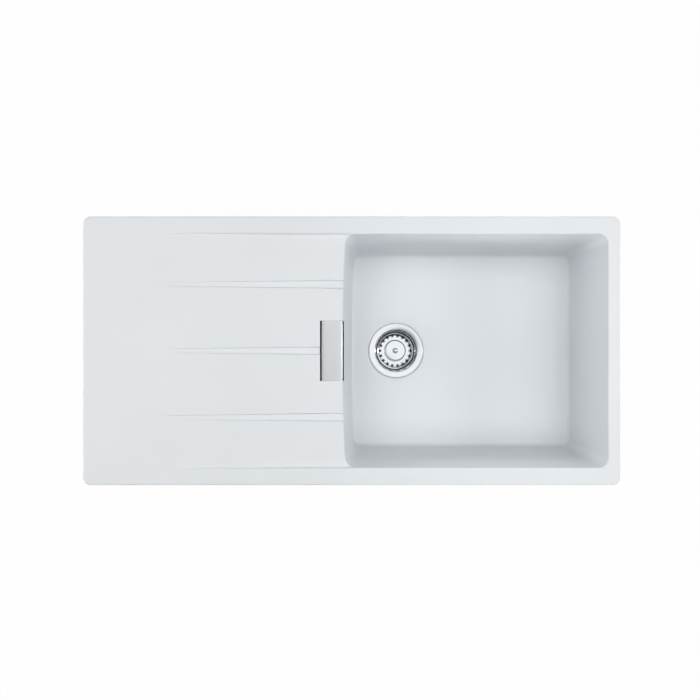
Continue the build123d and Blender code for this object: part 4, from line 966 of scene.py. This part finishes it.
slot_amounts = {label: size * MM for label, size in SLOT_SIZES.items()}
basket_mesh = grown(slot_tree(), turned_mesh("basket", BASKET_LINE, 144, True),
                    {"Slot Count": SLOT_COUNT, "Finish": polished, **slot_amounts})
fit_piece("strainer_basket_pressed", moved(basket_mesh, WASTE_X, 0), "basket", ["strainer_basket"],
          polished)
fit_piece("stopper_plug", softened("stopper_seal", 0.5), "basket", ["stopper_seal"], rubber)
dress("stem_clip", plain_steel)
dress("basket_stem", polished)
KNOB_Z, KNOB_R, KNOB_FULLNESS = BASKET_Z + DOME_RISE + BASKET_SHEET, 6.0, 0.85
KNOB_LINE = [(0.0, KNOB_Z + 2 * KNOB_R, 0.0)]
KNOB_LINE += [(KNOB_R * math.sin(t) ** KNOB_FULLNESS,
               KNOB_Z + KNOB_R + KNOB_R * math.cos(t) ** KNOB_FULLNESS, 0.0)
              for t in np.radians(np.linspace(5, 85, 15))]
KNOB_LINE += [(KNOB_R, KNOB_Z + 5.8, 0.4), (5.1, KNOB_Z + 4.6, 0.8), (4.2, KNOB_Z + 3.0, 1.0),
              (4.5, KNOB_Z + 1.2, 0.8), (5.5, KNOB_Z + 0.5, 0.4), (5.5, KNOB_Z, 0.2), (3.1, KNOB_Z, 0.0),
              (3.1, KNOB_Z + 5.0, 0.2), (0.0, KNOB_Z + 5.0, 0.0)]
knob_mesh = moved(turned_mesh("knob", KNOB_LINE, 64), WASTE_X, 0)
fit_piece("basket_pull_knob", knob_mesh, "basket", ["basket_knob"], polished)

# Overflow cover: bare brushed stainless sheet with its long edges rolled down, flush with the drainer.
# Two moulded legs under it grip the ends of the pocket, so that it lifts off for cleaning.
brushed = finish("brushed_steel", DRAWN_GRAIN, {"Lines": 1800.0, "Length": 30.0, "Cloud": 24.0},
                 (209, 212, 215), (219, 222, 225), (0.26, 0.36), 0.003, shader={"Metallic": 1.0})
COVER_LEFT, COVER_RIGHT, COVER_HALF, COVER_TOP = -56.2, -16.5, 56.0, 2.34
COVER_SHEET, COVER_BEND_R, COVER_ROLL_R, COVER_FLANGE, COVER_FLANGE_HALF = 1.2, 1.3, 3.0, 5.0, 50.5
COVER_SPARE = 2.0


def cover_side(gap):
    """Line across the cover from one rolled edge to the other, drawn in by a gap."""
    left, right, top = COVER_LEFT + gap, COVER_RIGHT - gap, COVER_TOP - gap
    tight, wide = COVER_BEND_R - gap, COVER_ROLL_R - gap
    foot = COVER_TOP - COVER_FLANGE
    turns = np.linspace(0, math.pi / 2, 9)
    line = [(left, foot)]
    line += [(left + tight * (1 - math.cos(t)), top - tight * (1 - math.sin(t))) for t in turns]
    line += [(left + tight + (right - left - tight - wide) * t, top) for t in (0.25, 0.5, 0.75)]
    line += [(right - wide * (1 - math.sin(t)), top - wide * (1 - math.cos(t))) for t in turns]
    return line + [(right, foot)]


def cover_sheet():
    """Rolled sheet whose ends lose their flanges, so that they lie on the pocket's ledges."""
    ring = cover_side(0.0) + cover_side(COVER_SHEET)[::-1]
    flanged = np.linspace(-COVER_FLANGE_HALF, COVER_FLANGE_HALF, 13)
    rows = np.concatenate([[-COVER_HALF], flanged, [COVER_HALF]])
    across, up = np.array(ring).T
    made = ring_mesh("cover_sheet", [(across, y, up) for y in rows])
    work = open_mesh(made)
    bmesh.ops.holes_fill(work, edges=[e for e in work.edges if e.is_boundary])
    bmesh.ops.recalc_face_normals(work, faces=work.faces)
    close_mesh(work, made)
    left, right, end = COVER_LEFT - COVER_SPARE, COVER_RIGHT + COVER_SPARE, COVER_HALF + COVER_SPARE
    low, high = COVER_TOP - COVER_FLANGE - COVER_SPARE, COVER_TOP - COVER_SHEET
    ends = [block_mesh((left, y0, low), (right, y1, high), 0.0)
            for y0, y1 in ((COVER_FLANGE_HALF, end), (-end, -COVER_FLANGE_HALF))]
    return worked(made, ends, "DIFFERENCE")


fit_piece("overflow_cover_sheet", cover_sheet(), "cover", ["overflow_cover"], brushed)
fit_piece("cover_grip_legs", softened("cover_legs", 0.6), "cover", ["cover_legs"], nylon)

# Studio: white floor below the sink and a pale room, with soft boxes overhead and on both sides, low strips
# from left and right, a small fill, and two narrow beams that reach the bowl's long walls alone.
# The camera looks straight down, as the photograph was taken.


def white_behind(tree, lit, white):
    """Shader that is plain white to the eye and in mirrors, and lights the sink by its own value."""
    rays = node_in(tree, "ShaderNodeLightPath").outputs
    seen = number_in(tree, "MAXIMUM", rays["Is Camera Ray"], rays["Is Glossy Ray"])
    seen = number_in(tree, "MAXIMUM", seen, rays["Is Transmission Ray"])
    return node_in(tree, "ShaderNodeMixShader", {0: seen, 1: lit, 2: white})


WHITE = (1.0, 1.0, 1.0, 1.0)
world = bpy.data.worlds.new("studio")
bpy.context.scene.world = world
world.use_nodes = True
room = world.node_tree
dim = room.nodes["Background"]
dim.inputs["Color"].default_value = (0.97, 0.985, 1.0, 1.0)
dim.inputs["Strength"].default_value = 0.09
white_room = node_in(room, "ShaderNodeBackground", {"Color": WHITE, "Strength": 1.0})
way = node_in(room, "ShaderNodeTexCoord").outputs["Generated"]
height = node_in(room, "ShaderNodeSeparateXYZ", {"Vector": way})
walls = node_in(room, "ShaderNodeMapRange", {
    "Value": height.outputs["Z"], "From Min": 0.45, "From Max": 0.62, "To Min": 1.0, "To Max": 0.14})
SOFT_BOX_WAY = (0.288, 0.288, 0.913)
box_side = node_in(room, "ShaderNodeVectorMath", {0: way, 1: SOFT_BOX_WAY}, operation="DOT_PRODUCT")
soft_box = node_in(room, "ShaderNodeMapRange", {
    "Value": box_side.outputs["Value"], "From Min": 0.79, "From Max": 0.86, "To Min": 0.0, "To Max": 1.22},
    interpolation_type="SMOOTHSTEP")
bands = number_in(room, "MAXIMUM", walls, soft_box)
mirrored = node_in(room, "ShaderNodeBackground", {"Color": WHITE, "Strength": bands})
room_rays = node_in(room, "ShaderNodeLightPath")
in_metal = node_in(room, "ShaderNodeMixShader", {
    0: room_rays.outputs["Is Glossy Ray"], 1: white_room, 2: mirrored})
seen_room = white_behind(room, dim, in_metal)
room.links.new(seen_room.outputs[0], room.nodes["World Output"].inputs["Surface"])

floor_paint = bpy.data.materials.new("studio_floor")
floor_paint.use_nodes = True
paint = floor_paint.node_tree
paint.nodes.remove(paint.nodes["Principled BSDF"])
matt = node_in(paint, "ShaderNodeBsdfDiffuse", {"Color": (0.9, 0.9, 0.9, 1.0)})
glow = node_in(paint, "ShaderNodeEmission", {"Color": WHITE, "Strength": 1.0})
part_glow = node_in(paint, "ShaderNodeMixShader", {0: 0.97, 1: matt, 2: glow})
from_below = node_in(paint, "ShaderNodeNewGeometry")
see_through = node_in(paint, "ShaderNodeBsdfTransparent")
one_sided = node_in(paint, "ShaderNodeMixShader", {
    0: from_below.outputs["Backfacing"], 1: white_behind(paint, matt, part_glow), 2: see_through})
paint.links.new(one_sided.outputs[0], paint.nodes["Material Output"].inputs["Surface"])
STAGE_HALF, STAGE_Z = 6, -0.2985
stage_corners = [(sx * STAGE_HALF, sy * STAGE_HALF, STAGE_Z)
                 for sx, sy in ((-1, -1), (1, -1), (1, 1), (-1, 1))]
floor_mesh = bpy.data.meshes.new("studio_floor")
floor_mesh.from_pydata(stage_corners, [], [(0, 1, 2, 3)])
floor_mesh.materials.append(floor_paint)
floor = set_out("studio_floor", floor_mesh)

SINK_MIDDLE, BOWL_MIDDLE, ALL_ROUND, BEAM = (0.0, 0.0, 0.0), (0.27, 0.0, -0.03), 180.0, 16.0
LAMPS = [("overhead_soft_box", (0.0, 0.0, 2.6), SINK_MIDDLE, (2.6, 2.2), ALL_ROUND, 25.5),
         ("left_soft_box", (-1.1, 0.0, 2.1), SINK_MIDDLE, (2.2, 1.3), ALL_ROUND, 16.0),
         ("right_soft_box", (1.1, 0.0, 2.1), SINK_MIDDLE, (2.2, 1.3), ALL_ROUND, 16.0),
         ("right_fill", (1.5, 0.0, 0.75), SINK_MIDDLE, (0.3, 0.3), ALL_ROUND, 3.6),
         ("left_low_strip", (-2.0, 0.0, 0.45), SINK_MIDDLE, (1.6, 0.60), ALL_ROUND, 15.5),
         ("right_low_strip", (2.0, 0.0, 0.30), SINK_MIDDLE, (1.6, 0.45), ALL_ROUND, 6.0),
         ("back_beam", (0.27, 2.0, 0.28), BOWL_MIDDLE, (0.5, 0.45), BEAM, 0.16),
         ("front_beam", (0.27, -2.0, 0.28), BOWL_MIDDLE, (0.5, 0.45), BEAM, 0.215)]
for name, spot, target, size, spread, watts in LAMPS:
    lamp = bpy.data.lights.new(name, "AREA")
    lamp.shape = "RECTANGLE"
    lamp.size, lamp.size_y = size
    lamp.spread = math.radians(spread)
    lamp.energy = watts
    stand = set_out(name, lamp)
    stand.location = spot
    stand.visible_glossy = name == "right_fill"
    stand.rotation_euler = (Vector(target) - Vector(spot)).to_track_quat("-Z", "Y").to_euler()

CAMERA_SPOT, CAMERA_LENS = (-0.003, 0.0015, 1.484), 40.81
camera = set_out("camera", bpy.data.cameras.new("camera"))
camera.location = CAMERA_SPOT
camera.data.lens = CAMERA_LENS
bpy.context.scene.camera = camera
bpy.context.scene.view_settings.view_transform = "Standard"
